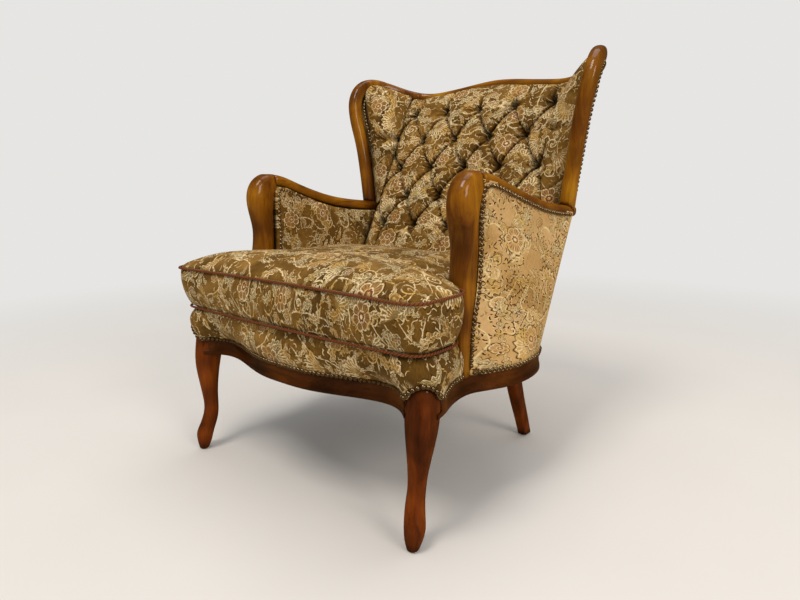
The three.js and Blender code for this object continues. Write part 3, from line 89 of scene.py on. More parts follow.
# Arms
ARM_OUTER_X = 320.0
ARM_PEAK = 642.0
POST_Y = 150.0
POST_DEPTH = 60.0
POST_WIDTH = 54.0
POST_JOINT_Y = 210.0
ARM_END_Y = 606.0
ARM_DROP = 76.0
ARM_BULGE = 11.0
ARM_WIDTH = (54.0, 38.0)
ARM_HEIGHT = (32.0, 27.0)
ARM_PAD_X = 257.0
ARM_LEVEL = 567.0
ARM_HALF_WIDTH = 331.0
SEAT_CORNER = 180.0
ARM_CORNER = 100.0

# Wings and crest
WING_X = 350.0
WING_Y = 580.0
WING_DEPTH = 198.0
WING_FOOT_Z = 565.0
WING_HEIGHT = 332.0
WOOD_THICK = 34.0
WOOD_FACE = 37.0
BEAD_HEIGHT = 8.0

# Padding
BORDER_TOP = 344.0
BORDER_BULGE = 11.0
BORDER_THICK = 22.0
BORDER_X = 334.0
BORDER_Y = -6.0
DECK_TOP = 344.0
PAD_DEPTH = 58.0
PAD_ROLL = 70.0
PAD_ROLL_DEPTH = 44.0
TACK_RAIL = 30.0
HESSIAN = 2.0
PAD_INSET = REBATE + TACK_RAIL + FIT + HESSIAN + FIT
COVER_LAP = 8.0
COVER_TUCK = 3.0
TUFT_X = 106.0
TUFT_Z = 74.5
TUFT_FIRST_Z = 508.0
TUFT_ROWS = 5
BACK_PAD_HALF = 254.4
WING_CROWN = 56.0

# Loose cushion
CUSHION_REST = DECK_TOP + FIT
CUSHION_LOWER = 350.0
CUSHION_UPPER = 437.0
CUSHION_CROWN = 40.0
CUSHION_SWELL = 9.0
CUSHION_HOLLOW = 12.0
CUSHION_BOW = 8.0
CUSHION_REAR_Y = 424.0
CUSHION_REAR_X = 246.0
CUSHION_WAIST_Y = 137.0
CUSHION_CORNER = 42.0
EAR_UPPER = (346.0, -25.0)
EAR_LOWER = (338.0, -8.0)
PIPING = 6.0
PIPING_GAP = 0.4

# Nails
NAIL_RADIUS = 4.6
NAIL_DOME = 4.0
NAIL_PITCH = 9.7
NAIL_WIDTH = 8.0
NAIL_SEAT = 0.5
NAIL_HEIGHT = 2.4

SIDE_PLAN = [
    (0.1, 0.34), (0.19, 0.48), (0.26, 0.67), (0.33, 0.835), (0.45, 0.99), (0.547, 0.95),
    (0.656, 0.58), (0.78, 0.2), (0.89, 0.03), (1, 0),
]
POST_ROWS = [
    (0, 0, 0.47, 0.65, 0.04), (0.22, -0.03, 0.55, 0.74, 0.04), (0.42, 0, 0.87, 0.89, 0.04),
    (0.526, 0.13, 0.92, 0.93, 0.04), (0.647, 0.25, 0.95, 0.96, 0.04), (0.767, 0, 0.93, 1, 0.02),
    (0.86, -0.08, 1.07, 1, 0), (0.93, 0.05, 1.5, 0.98, 0.02), (0.973, 0.3, 1.5, 0.93, 0.07),
    (1, 0.6, 1.45, 0.78, 0.22),
]
ARM_ROWS = [
    (0, 0, 0), (0.08, 0.05, 0.18), (0.19, 0.25, 0.64), (0.36, 0.53, 1), (0.54, 0.77, 1),
    (0.74, 0.91, 0.64), (0.93, 0.985, 0.15), (1, 1, -0.27),
]
FRAME_ROWS = [
    (0.869, 0, -0.04, 0, 1, 0.97), (0.903, -0.015, 0.256, 0, 1, 0.97), (0.934, -0.03, 0.485, 0, 1, 0.97),
    (0.969, -0.066, 0.669, 0, 1, 1), (1, -0.05, 0.828, 0, 1, 1.03), (1, 0.06, 0.946, 0, 1, 1.03),
    (0.977, 0.253, 1, 0.1, 1, 0.97), (0.909, 0.505, 0.976, 0.3, 1, 0.86),
    (0.786, 0.742, 0.919, 0.55, 0.96, 0.78), (0.614, 0.894, 0.889, 0.8, 0.94, 0.73),
    (0.371, 0.97, 0.91, 0.95, 0.94, 0.73), (0, 1, 0.949, 1, 0.94, 0.76),
]
FRAME_STEPS = len(FRAME_ROWS) - 1
CREST_JOINT = 8.5 / FRAME_STEPS
CREST_START = 8 / FRAME_STEPS
WING_PAD_RUN = (5.3, 8.3)  # the rows of the frame between which a wing's pad ends at its top
BORDER_ROWS = [
    (0, -0.06, 0, 0, 0), (0.19, -0.045, 0, 0.187, 0), (0.375, 0.055, 0, 0.375, 0),
    (0.5625, 0.19, 0, 0.553, 0), (0.734, 0.255, 0, 0.705, 0), (0.85, 0.18, 0, 0.8, 0),
    (0.906, 0.08, 0, 0.862, 0), (0.944, 0.01, 0, 0.905, 0.015), (1, -0.02, 0.65, 0.94, 0.055),
    (1.06, 0.05, 1, 0.972, 0.125), (1.0875, 0.16, 0.65, 0.99, 0.225), (1.094, 0.27, 0, 1, 0.33),
    (1.066, 0.41, 0, 1, 0.46), (1.036, 0.56, 0, 0.992, 0.6), (1.0125, 0.71, 0, 0.955, 0.74),
    (0.988, 1, 0, 0.875, 1),
]


# Small helpers
def lerp(a, b, t):
    return a + (b - a) * t


def clamp(value, low=0.0, high=1.0):
    return max(low, min(high, value))


def shares(count):
    return [step / count for step in range(count + 1)]


def vec(x, y, z):
    return np.array([x, y, z], float)


def unit(v):
    return v / max(np.linalg.norm(v), 1e-9)


def mirrored(side, p):
    return vec(side * p[0], p[1], p[2])


def row_at(rows, key):
    if key <= rows[0][0]:
        return rows[0]
    for before, after in zip(rows, rows[1:]):
        if after[0] >= key:
            mix = (key - before[0]) / (after[0] - before[0])
            return tuple(lerp(a, b, mix) for a, b in zip(before, after))
    return rows[-1]


def to_row(points):
    """Millimetres in the chair's frame to metres in the row frame."""
    placed = np.asarray(points, float).reshape(-1, 3) * MM
    placed[:, 1] += SHIFT_Y
    return placed


def line_lengths(points):
    """How far along a line each of its points is."""
    return np.cumsum([0] + [np.linalg.norm(b - a) for a, b in zip(points, points[1:])])


def hump(away, spread):
    """1 in the middle, falling off smoothly to both sides."""
    return np.exp(-((away / spread) ** 2))


def smooth_step(value):
    value = clamp(value)
    return value * value * (3 - 2 * value)


class Curve:
    """A centripetal Catmull-Rom curve through points."""

    def __init__(self, points):
        self.points = [np.asarray(p, float) for p in points]

    def place(self, share):
        points = self.points
        spot = (len(points) - 1) * clamp(share)
        start = min(int(spot), len(points) - 2)
        t = spot - start
        p1, p2 = points[start], points[start + 1]
        p0 = points[start - 1] if start > 0 else 2 * points[0] - points[1]
        p3 = points[start + 2] if start + 2 < len(points) else 2 * points[-1] - points[-2]
        d0, d1, d2 = [max(np.linalg.norm(b - a) ** 0.5, 1e-4) for a, b in ((p0, p1), (p1, p2), (p2, p3))]
        m1 = ((p1 - p0) / d0 - (p2 - p0) / (d0 + d1) + (p2 - p1) / d1) * d1
        m2 = ((p2 - p1) / d1 - (p3 - p1) / (d1 + d2) + (p3 - p2) / d2) * d1
        return p1 + m1 * t + (3 * (p2 - p1) - 2 * m1 - m2) * t ** 2 + (2 * (p1 - p2) + m1 + m2) * t ** 3

    def along(self, share, step=1e-4):
        return unit(self.place(min(share + step, 1)) - self.place(max(share - step, 0)))


# The chair's main lines
SIDE_SAMPLES = 64
CREST_SAMPLES = 30
side_curve = Curve([
    vec(SEAT_HALF_WIDTH - waist * SIDE_WAIST, along * SIDE_RUN, 0) for along, waist in SIDE_PLAN
])
side_samples = [(p[1], p[0]) for p in (side_curve.place(share) for share in shares(SIDE_SAMPLES))]


def side_x(y):
    return row_at(side_samples, y)[1]


def back_y(z):
    return BACK_Y + BACK_LEAN * (z - SHOW_TOP)


def corner_plan(half_width, radius, outer_y, z, count):
    arc = []
    for share in shares(count):
        angle = share * math.pi / 2
        x = half_width - radius * (1 - math.cos(angle))
        arc.append(vec(x, outer_y - radius * (1 - math.sin(angle)), z))
    return arc + [vec(SEAM_X, outer_y, z)]


def post_row(z):
    bottom = SHOW_TOP + FIT
    _, front, rear, inner, outer = row_at(POST_ROWS, (z - bottom) / (ARM_PEAK - bottom))
    return {
        "front": POST_Y + front * POST_DEPTH, "rear": min(POST_Y + rear * POST_DEPTH, POST_JOINT_Y),
        "inner": ARM_OUTER_X - inner * POST_WIDTH, "outer": ARM_OUTER_X - outer * POST_WIDTH,
    }


def arm_row(y):
    share = clamp((y - POST_JOINT_Y - FIT) / (ARM_END_Y - POST_JOINT_Y - FIT), 0, 10)
    _, drop, bulge = row_at(ARM_ROWS, share)
    top = ARM_PEAK - drop * ARM_DROP
    outer = ARM_OUTER_X + bulge * ARM_BULGE
    bottom, inner = top - lerp(*ARM_HEIGHT, share), outer - lerp(*ARM_WIDTH, share)
    return {"top": top, "outer": outer, "bottom": bottom, "inner": inner}


frame_points = [
    vec(width * WING_X, WING_Y + depth * WING_DEPTH, WING_FOOT_Z + height * WING_HEIGHT)
    for width, depth, height, *_ in FRAME_ROWS
]
frame_curve = Curve(frame_points + [mirrored(-1, frame_points[-2])])
FRAME_REACH = (len(frame_points) - 1) / len(frame_points)
frame_turns = [(step / FRAME_STEPS, *row[3:]) for step, row in enumerate(FRAME_ROWS)]


def frame_at(share):
    """Centre, outward and inward directions and half sizes of the wing and crest wood."""
    _, turn, thick, face = row_at(frame_turns, share)
    along = vec(-1, 0, 0) if share >= 1 else frame_curve.along(share * FRAME_REACH)
    angle = turn * math.pi / 2
    out = vec(math.cos(angle), math.sin(angle), 0)
    out = unit(out - along * out.dot(along))
    return {
        "centre": frame_curve.place(share * FRAME_REACH), "out": out, "inward": unit(np.cross(along, out)),
        "half_thick": thick * WOOD_THICK / 2, "half_face": face * WOOD_FACE / 2,
    }


def crest_height(x):
    return row_at(crest_heights, -abs(x))[1]


crest_heights = [
    (-p[0], p[2])
    for p in (frame_at(lerp(CREST_START, 1, share))["centre"] for share in shares(CREST_SAMPLES))
]
CREST_MIDDLE_Z = WING_FOOT_Z + WING_HEIGHT * FRAME_ROWS[-1][2]


def inward_normals(line):
    normals = []
    for step in range(len(line)):
        along = line[min(step + 1, len(line) - 1)] - line[max(step - 1, 0)]
        normals.append(unit(vec(-along[1], along[0], 0)))
    return normals


# The outside shell of the arms and the lower back
POST_BOTTOM = SHOW_TOP + FIT
SHELL_COLUMNS = 8
CORNER_COLUMNS = 6
ARM_SHELL_Z = arm_row(ARM_END_Y)["bottom"] + ARM_HEIGHT[1] / 2


def shell_lines():
    foot, head = [], []
    for share in shares(SHELL_COLUMNS):
        y = lerp(post_row(POST_BOTTOM)["rear"] + FIT, SIDE_RUN, share)
        foot.append(vec(side_x(y), y, POST_BOTTOM))
        y = lerp(POST_JOINT_Y, back_y(ARM_SHELL_Z) - ARM_CORNER, share)
        row = arm_row(y)
        head.append(vec(row["outer"] - FIT, y, (row["top"] + row["bottom"]) / 2))
    rear_y = back_y(ARM_SHELL_Z)
    foot += corner_plan(SEAT_HALF_WIDTH, SEAT_CORNER, BACK_Y, POST_BOTTOM, CORNER_COLUMNS)[1:]
    head += corner_plan(ARM_HALF_WIDTH - FIT, ARM_CORNER, rear_y, ARM_SHELL_Z, CORNER_COLUMNS)[1:]
    return foot, head


shell_foot, shell_head = shell_lines()
shell_foot_normals, shell_head_normals = inward_normals(shell_foot), inward_normals(shell_head)


def shell_place(column, share, inset):
    low = int(column)
    high = min(low + 1, len(shell_foot) - 1)
    mix = column - low
    foot = lerp(shell_foot[low], shell_foot[high], mix)
    head = lerp(shell_head[low], shell_head[high], mix)
    place = lerp(foot, head, share)
    slack = post_row(place[2])["rear"] + FIT - lerp(shell_foot[0][1], shell_head[0][1], share)
    place[1] += slack * max(0, 1 - column / SHELL_COLUMNS) ** 3
    foot_normal = lerp(shell_foot_normals[low], shell_foot_normals[high], mix)
    head_normal = lerp(shell_head_normals[low], shell_head_normals[high], mix)
    return place + unit(lerp(foot_normal, head_normal, share)) * inset


def shell_point(column, share):
    step = 0.02
    near = max(column, step)
    last = len(shell_foot) - 1
    along = shell_place(min(near + step, last), share, 0) - shell_place(near - step, share, 0)
    up = shell_place(column, share + step, 0) - shell_place(column, share, 0)
    return shell_place(column, share, 0), unit(np.cross(along, up))


# The padded front border
def border_stations():
    run = POST_Y - FIT
    right = []
    for foot_x, foot_y, lift, top_x, top_y in BORDER_ROWS:
        foot = vec(foot_x * FOOT_X, foot_y * run, POST_BOTTOM + lift * (LEG_CAP - SHOW_TOP))
        top = vec(top_x * BORDER_X, lerp(BORDER_Y, run, top_y), BORDER_TOP)
        right.append((foot, top))
    left = [(mirrored(LEFT, foot), mirrored(LEFT, top)) for foot, top in right[1:][::-1]]
    return left + right


stations = border_stations()
foot_curve, top_curve = Curve([foot for foot, _ in stations]), Curve([top for _, top in stations])


def border_lines(count):
    foot = [foot_curve.place(share) for share in shares(count)]
    top = [top_curve.place(share) for share in shares(count)]
    return foot, top, inward_normals(foot), inward_normals(top)


# Meshes
WELD = 0.02
FLAT_ANGLE = 12  # degrees between triangles that are joined to a quad
SHAPE_ANGLE = 50
EDGE_ANGLE = 60  # degrees from which an edge stays sharp


def finish_mesh(name, mesh, body, material, nodes=()):
    obj = bpy.data.objects.new(name, mesh)
    bpy.context.scene.collection.objects.link(obj)
    for polygon in mesh.polygons:
        polygon.use_smooth = True
    mesh.materials.clear()
    mesh.materials.append(material)
    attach(obj, body)
    if nodes:
        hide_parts(*nodes)
    return obj


def mesh_from(name, corners, faces):
    """A mesh from corners in millimetres of the chair's frame."""
    mesh = bpy.data.meshes.new(name)
    mesh.from_pydata([tuple(p) for p in to_row(corners)], [], faces)
    mesh.update()
    return mesh


def grid_faces(rows, columns, start=0, looped=False):
    faces = []
    for row in range(rows - 1):
        for column in range(columns if looped else columns - 1):
            after = (column + 1) % columns
            a, b = start + row * columns + column, start + row * columns + after
            faces.append((a, b, b + columns, a + columns))
    return faces


def outward(mesh):
    shape = bmesh.new()
    shape.from_mesh(mesh)
    bmesh.ops.recalc_face_normals(shape, faces=shape.faces)
    shape.to_mesh(mesh)
    shape.free()
    return mesh


def grid_shell(name, front, back):
    """A closed slab between two grids of the same size, in millimetres."""
    rows, columns = len(front), len(front[0])
    corners = [p for row in front for p in row] + [p for row in back for p in row]
    half = rows * columns
    faces = grid_faces(rows, columns)
    faces += [tuple(half + corner for corner in face[::-1]) for face in grid_faces(rows, columns)]
    edge = list(range(columns)) + [row * columns + columns - 1 for row in range(1, rows)]
    edge += [(rows - 1) * columns + column for column in range(columns - 2, -1, -1)]
    edge += [row * columns for row in range(rows - 2, 0, -1)]
    for here, after in zip(edge, edge[1:] + edge[:1]):
        faces.append((after, here, half + here, half + after))
    return outward(mesh_from(name, corners, faces))


def closed_rings(name, rings):
    """A closed mesh from rings of the same size, in millimetres, with a face on each end."""
    size = len(rings[0])
    corners = [p for ring in rings for p in ring]
    faces = grid_faces(len(rings), size, looped=True)
    last = (len(rings) - 1) * size
    faces += [tuple(range(size))[::-1], tuple(last + corner for corner in range(size))]
    return outward(mesh_from(name, corners, faces))


def point_values(mesh, kind="co"):
    values = np.zeros(len(mesh.vertices) * 3, np.float32)
    mesh.vertices.foreach_get(kind, values)
    return values.reshape(-1, 3)


def put_points(mesh, places):
    mesh.vertices.foreach_set("co", places.astype(np.float32).ravel())
    mesh.update()


def applied(obj):
    """Turns an object's modifiers into its mesh."""
    graph = bpy.context.evaluated_depsgraph_get()
    graph.update()
    made = bpy.data.meshes.new_from_object(obj.evaluated_get(graph))
    old = obj.data
    obj.modifiers.clear()
    obj.data = made
    bpy.data.meshes.remove(old)
    for polygon in made.polygons:
        polygon.use_smooth = True
    return obj


def subdivided(obj, levels):
    modifier = obj.modifiers.new("Smooth", "SUBSURF")
    modifier.levels = modifier.render_levels = levels
    return applied(obj)


def smooth_copy(node, name, slot, material, levels=2, crease_angle=EDGE_ANGLE, bevel=0.0):
    """A finer, rounded copy of a CAD node of the frame that keeps its sharp edges."""
    shape = bmesh.new()
    shape.from_mesh(frame["nodes"][node].data)
    bmesh.ops.remove_doubles(shape, verts=shape.verts, dist=WELD * MM)
    bmesh.ops.join_triangles(
        shape, faces=shape.faces, angle_face_threshold=math.radians(FLAT_ANGLE),
        angle_shape_threshold=math.radians(SHAPE_ANGLE))
    creases = shape.edges.layers.float.new("crease_edge")
    for edge in shape.edges:
        if len(edge.link_faces) == 2 and edge.calc_face_angle(0) > math.radians(crease_angle):
            edge[creases] = 1
    mesh = bpy.data.meshes.new(name)
    shape.to_mesh(mesh)
    shape.free()
    obj = finish_mesh(name, mesh, "frame", material, [node])
    modifier = obj.modifiers.new("Smooth", "SUBSURF")
    modifier.levels = modifier.render_levels = levels
    if bevel:
        edges = obj.modifiers.new("Edges", "BEVEL")
        edges.width = bevel * MM
        edges.segments = 2
        edges.limit_method = "ANGLE"
        edges.angle_limit = math.radians(crease_angle)
    return applied(obj)


def store_cloth(mesh, flat):
    """Stores where each point of a cover lies on the flat cloth, in metres, for its pattern."""
    attribute = mesh.attributes.new("cloth", "FLOAT_VECTOR", "POINT")
    attribute.data.foreach_set("vector", np.array(flat, np.float32).ravel())


def set_cloth(obj, lay):
    """Lays the cloth by a rule that turns x, y and z in metres into a place on the flat cloth."""
    u, v = lay(*point_values(obj.data).T)
    store_cloth(obj.data, np.stack([u, v, np.zeros(len(u))], axis=1))


# Materials
def tone(code):
    """A colour written as #RRGGBB, in the linear values that nodes take."""
    parts = [int(code[start:start + 2], 16) / 255 for start in (1, 3, 5)]
    linear = [p / 12.92 if p <= 0.04045 else ((p + 0.055) / 1.055) ** 2.4 for p in parts]
    return (*linear, 1.0)


class Nodes:
    """Builds the nodes of one material, or of the world where that is the owner."""

    def __init__(self, name, owner=None):
        self.material = owner or bpy.data.materials.new(name)
        self.material.use_nodes = True
        self.tree = self.material.node_tree
        self.tree.nodes.clear()

    def add(self, kind, inputs=(), **settings):
        node = self.tree.nodes.new(kind)
        for key, value in settings.items():
            setattr(node, key, value)
        for key, value in dict(inputs).items():
            self.put(node.inputs[key], value)
        return node

    def put(self, socket, value):
        if isinstance(value, bpy.types.NodeSocket):
            self.tree.links.new(value, socket)
        elif value is not None:
            socket.default_value = value

    def math(self, operation, a, b=None, c=None, limit=False):
        node = self.add("ShaderNodeMath", operation=operation, use_clamp=limit)
        for socket, value in zip(node.inputs, (a, b, c)):
            self.put(socket, value)
        return node.outputs[0]

    def vector(self, operation, a, b=None, scale=None):
        node = self.add("ShaderNodeVectorMath", operation=operation)
        self.put(node.inputs[0], a)
        self.put(node.inputs[1], b)
        if scale is not None:
            self.put(node.inputs["Scale"], scale)
        return node.outputs["Value"] if operation in ("LENGTH", "DOT_PRODUCT") else node.outputs[0]

    def mix(self, share, a, b):
        node = self.add("ShaderNodeMix", data_type="RGBA", blend_type="MIX")
        self.put(node.inputs["Factor"], share)
        self.put(node.inputs[6], a)
        self.put(node.inputs[7], b)
        return node.outputs[2]

    def step(self, value, low, high):
        """0 below low, 1 above high, smooth between them; low may be the larger one."""
        node = self.add("ShaderNodeMapRange", interpolation_type="SMOOTHSTEP")
        self.put(node.inputs["Value"], value)
        self.put(node.inputs["From Min"], min(low, high))
        self.put(node.inputs["From Max"], max(low, high))
        self.put(node.inputs["To Min"], 0.0 if low < high else 1.0)
        self.put(node.inputs["To Max"], 1.0 if low < high else 0.0)
        return node.outputs["Result"]

    def band(self, value, low, high, soft):
        rise = self.step(value, low - soft, low + soft)
        return self.math("MULTIPLY", rise, self.step(value, high + soft, high - soft))

    def ramp(self, value, stops):
        node = self.add("ShaderNodeValToRGB")
        marks = node.color_ramp.elements
        while len(marks) < len(stops):
            marks.new(0.5)
        for mark, (place, code) in zip(marks, stops):
            mark.position = place
            mark.color = tone(code)
        self.put(node.inputs[0], value)
        return node.outputs[0]

    def noise(self, place, scale, detail=2.0, roughness=0.5, distortion=0.0, colour=False):
        node = self.add("ShaderNodeTexNoise", {
            "Vector": place, "Scale": scale, "Detail": detail, "Roughness": roughness,
            "Distortion": distortion,
        })
        return node.outputs["Color" if colour else "Fac"]

    def split(self, place):
        return self.add("ShaderNodeSeparateXYZ", {0: place}).outputs

    def cells(self, place, size, scatter):
        """The local place in each cell of a scattered net of cells, and the cell's own random colour."""
        node = self.add("ShaderNodeTexVoronoi", {"Vector": place, "Scale": 1 / size, "Randomness": scatter})
        node.voronoi_dimensions = "2D"
        local = self.vector("SUBTRACT", place, node.outputs["Position"])
        return local, self.add("ShaderNodeSeparateColor", {0: node.outputs["Color"]}).outputs

    def turned(self, local, share):
        """Radius and angle of a local place, turned by a share of the whole circle."""
        x, y, _ = self.split(local)
        angle = self.math("ARCTAN2", y, x)
        return self.vector("LENGTH", local), self.math("MULTIPLY_ADD", share, 2 * math.pi, angle)

    def bump(self, height, strength, distance, normal=None):
        node = self.add("ShaderNodeBump", {"Height": height, "Strength": strength, "Distance": distance * MM})
        self.put(node.inputs["Normal"], normal)
        return node.outputs[0]

    def shade(self, inputs):
        shader = self.add("ShaderNodeBsdfPrincipled", inputs)
        output = self.add("ShaderNodeOutputMaterial", {"Surface": shader.outputs[0]})
        output.target = "ALL"
        return self.material


def most(g, *values):
    result = values[0]
    for value in values[1:]:
        result = g.math("MAXIMUM", result, value)
    return result


def times(g, *values):
    result = values[0]
    for value in values[1:]:
        result = g.math("MULTIPLY", result, value)
    return result


def left_of(g, value):
    return g.math("SUBTRACT", 1.0, value)


def chosen(g, value, bare):
    """1 in the cells that aren't left bare, by their random value."""
    return g.step(value, bare, bare + 0.01)


def shifted(g, place, x, y):
    return g.vector("ADD", place, (x, y, 0.0))


def petals_at(g, length, angle, count, radius, notch):
    """How far out a place is in a flower of round petals, and how far it is from its petal's middle line."""
    turn = g.math("FRACT", g.math("MULTIPLY", angle, count / (2 * math.pi)))
    off = g.math("ABSOLUTE", g.math("MULTIPLY_ADD", turn, 2.0, -1.0))
    bow = g.math("SQRT", g.math("SUBTRACT", 1.0, g.math("MULTIPLY", off, off), limit=True))
    edge = g.math("MULTIPLY_ADD", bow, notch, 1 - notch)
    return g.math("DIVIDE", length, g.math("MULTIPLY", radius, edge)), off


def rosette(g, place, cell, radius, bare):
    """A striped flower in each cell that isn't left bare."""
    local, values = g.cells(place, cell, 0.55)
    length, angle = g.turned(local, values[2])
    size = g.math("MULTIPLY_ADD", values[1], radius * 0.3, radius * 0.85)
    reach, off = petals_at(g, length, angle, 7, size, 0.34)
    shown = chosen(g, values[0], bare)
    whole = times(g, g.step(reach, 1.0, 0.96), shown)
    rim = times(g, g.band(reach, 0.86, 0.97, 0.04), shown)
    between = times(g, g.step(off, 0.8, 0.98), g.band(reach, 0.4, 0.98, 0.04), shown)
    ring = times(g, g.band(reach, 0.3, 0.38, 0.03), shown)
    heart = times(g, g.step(reach, 0.16, 0.1), shown)
    rays = g.step(g.math("COSINE", g.math("MULTIPLY", off, 3 * math.pi)), 0.45, 0.9)
    red = times(g, rays, g.band(reach, 0.5, 0.8, 0.05), g.step(off, 0.85, 0.7), shown)
    core = times(g, g.band(reach, 0.17, 0.28, 0.03), shown)
    near = times(g, g.band(reach, 1.02, 1.1, 0.05), shown)
    lines = most(g, rim, ring, between, heart)
    return {"fill": whole, "lines": lines, "red": g.math("MAXIMUM", red, core), "near": near}


def fan(g, place, cell, radius, bare):
    """A half-open bloom of fine ribs that spread from its foot."""
    local, values = g.cells(place, cell, 0.75)
    length, angle = g.turned(local, values[2])
    angle = g.math("WRAP", angle, math.pi, -math.pi)
    away = g.math("ABSOLUTE", angle)
    frill = g.math("MULTIPLY_ADD", g.math("SINE", g.math("MULTIPLY", angle, 17.0)), 0.07, 0.93)
    reach = g.math("DIVIDE", length, g.math("MULTIPLY", frill, radius))
    shown = times(g, chosen(g, values[0], bare), g.step(away, 1.25, 1.15))
    whole = times(g, g.step(reach, 1.0, 0.95), shown)
    ribs = g.step(g.math("SINE", g.math("MULTIPLY", angle, 26.0)), -0.1, 0.6)
    ribs = times(g, ribs, g.band(reach, 0.3, 0.92, 0.06), shown)
    rim = times(g, g.band(reach, 0.9, 0.98, 0.03), shown)
    arc = times(g, g.band(reach, 0.55, 0.6, 0.03), shown)
    near = times(g, g.band(reach, 1.03, 1.12, 0.05), shown)
    return {"fill": whole, "lines": most(g, ribs, rim, arc), "near": near}


def leaf(g, place, cell, half_length, half_width, bend, bare):
    """A lobed leaf with a pale outline, midrib and veins in each cell that isn't left bare."""
    local, values = g.cells(place, cell, 0.9)
    length, angle = g.turned(local, values[2])
    x = g.math("MULTIPLY", length, g.math("COSINE", angle))
    y = g.math("MULTIPLY", length, g.math("SINE", angle))
    y = g.math("MULTIPLY_ADD", g.math("MULTIPLY", x, x), bend / half_length, y)
    away = g.math("ABSOLUTE", y)
    along = g.math("DIVIDE", x, half_length)
    taper = g.math("SUBTRACT", 1.0, g.math("MULTIPLY", along, along))
    lobes = g.math("MULTIPLY_ADD", g.math("SINE", g.math("MULTIPLY", along, 13.0)), 0.24, 0.76)
    width = times(g, taper, lobes, half_width)
    reach = g.math("DIVIDE", away, g.math("MAXIMUM", width, half_width * 0.02))
    shown = times(g, chosen(g, values[0], bare), g.step(taper, 0.0, 0.08))
    whole = times(g, g.step(reach, 1.0, 0.9), shown)
    rim = times(g, g.band(reach, 0.78, 0.98, 0.06), shown)
    rib = times(g, g.step(reach, 0.13, 0.05), shown)
    slant = g.math("MULTIPLY_ADD", away, -0.9, x)
    waves = g.math("SINE", g.math("MULTIPLY", slant, 30 / half_length))
    veins = times(g, g.step(waves, 0.5, 0.9), whole, 0.7)
    near = times(g, g.band(reach, 1.05, 1.3, 0.1), shown)
    return {"fill": whole, "lines": most(g, rim, rib, veins), "near": near, "tint": values[1]}


def curls(g, place, cell, radius, bare):
    """Scrolls: a thin line that winds in on itself."""
    local, values = g.cells(place, cell, 0.8)
    length, angle = g.turned(local, values[2])
    turns = g.math("MULTIPLY", angle, 0.5 / math.pi)
    wind = g.math("FRACT", g.math("MULTIPLY_ADD", length, 1.7 / radius, turns))
    shown = times(g, chosen(g, values[0], bare), g.step(length, radius, radius * 0.9))
    line = times(g, g.band(wind, 0.36, 0.62, 0.07), shown)
    near = times(g, g.band(wind, 0.72, 0.82, 0.05), shown)
    return {"lines": line, "near": near}


def flecks(g, place, cell, reach, bare):
    """Short curved strokes, each with a pale one beside it."""
    local, values = g.cells(place, cell, 0.85)
    length, angle = g.turned(local, values[2])
    away = g.math("ABSOLUTE", g.math("WRAP", angle, math.pi, -math.pi))
    shown = times(g, chosen(g, values[0], bare), g.step(away, 1.15, 0.85))
    share = g.math("DIVIDE", length, reach)
    return {
        "near": times(g, g.band(share, 0.5, 1.05, 0.1), shown),
        "lines": times(g, g.band(share, 1.15, 1.55, 0.1), shown),
    }


# The floral's motifs, in metres on the flat cloth: where the net of each starts, then its cell, its own sizes
# and the share of its cells that is left bare
NETS = {
    "small": (0.41, 0.27), "bloom": (0.77, 0.13), "leaves": (0.13, 0.71), "sprigs": (0.83, 0.52),
    "winding": (0.29, 0.93), "strokes": (0.57, 0.37),
}
MOTIFS = {
    "big": (rosette, 0.098, 0.027, 0.5), "small": (rosette, 0.05, 0.0125, 0.6),
    "bloom": (fan, 0.105, 0.04, 0.35),
    "leaves": (leaf, 0.058, 0.03, 0.013, 0.5, 0.12), "sprigs": (leaf, 0.034, 0.018, 0.0062, -0.5, 0.2),
    "winding": (curls, 0.062, 0.017, 0.45),
}
STROKES_BARE_SHARE = 0.04
BROAD_DRIFT = 0.014
FINE_DRIFT = 0.0024


def motif(g, place, name):
    make, *sizes = MOTIFS[name]
    return make(g, shifted(g, place, *NETS[name]) if name in NETS else place, *sizes)


def drifted(g, place, source, scale, reach):
    """A place moved a little by noise of another place, so that the pattern isn't drawn too evenly."""
    drift = g.vector("SUBTRACT", g.noise(source, scale, 1.0, colour=True), (0.5, 0.5, 0.5))
    return g.vector("ADD", place, g.vector("SCALE", drift, scale=reach))


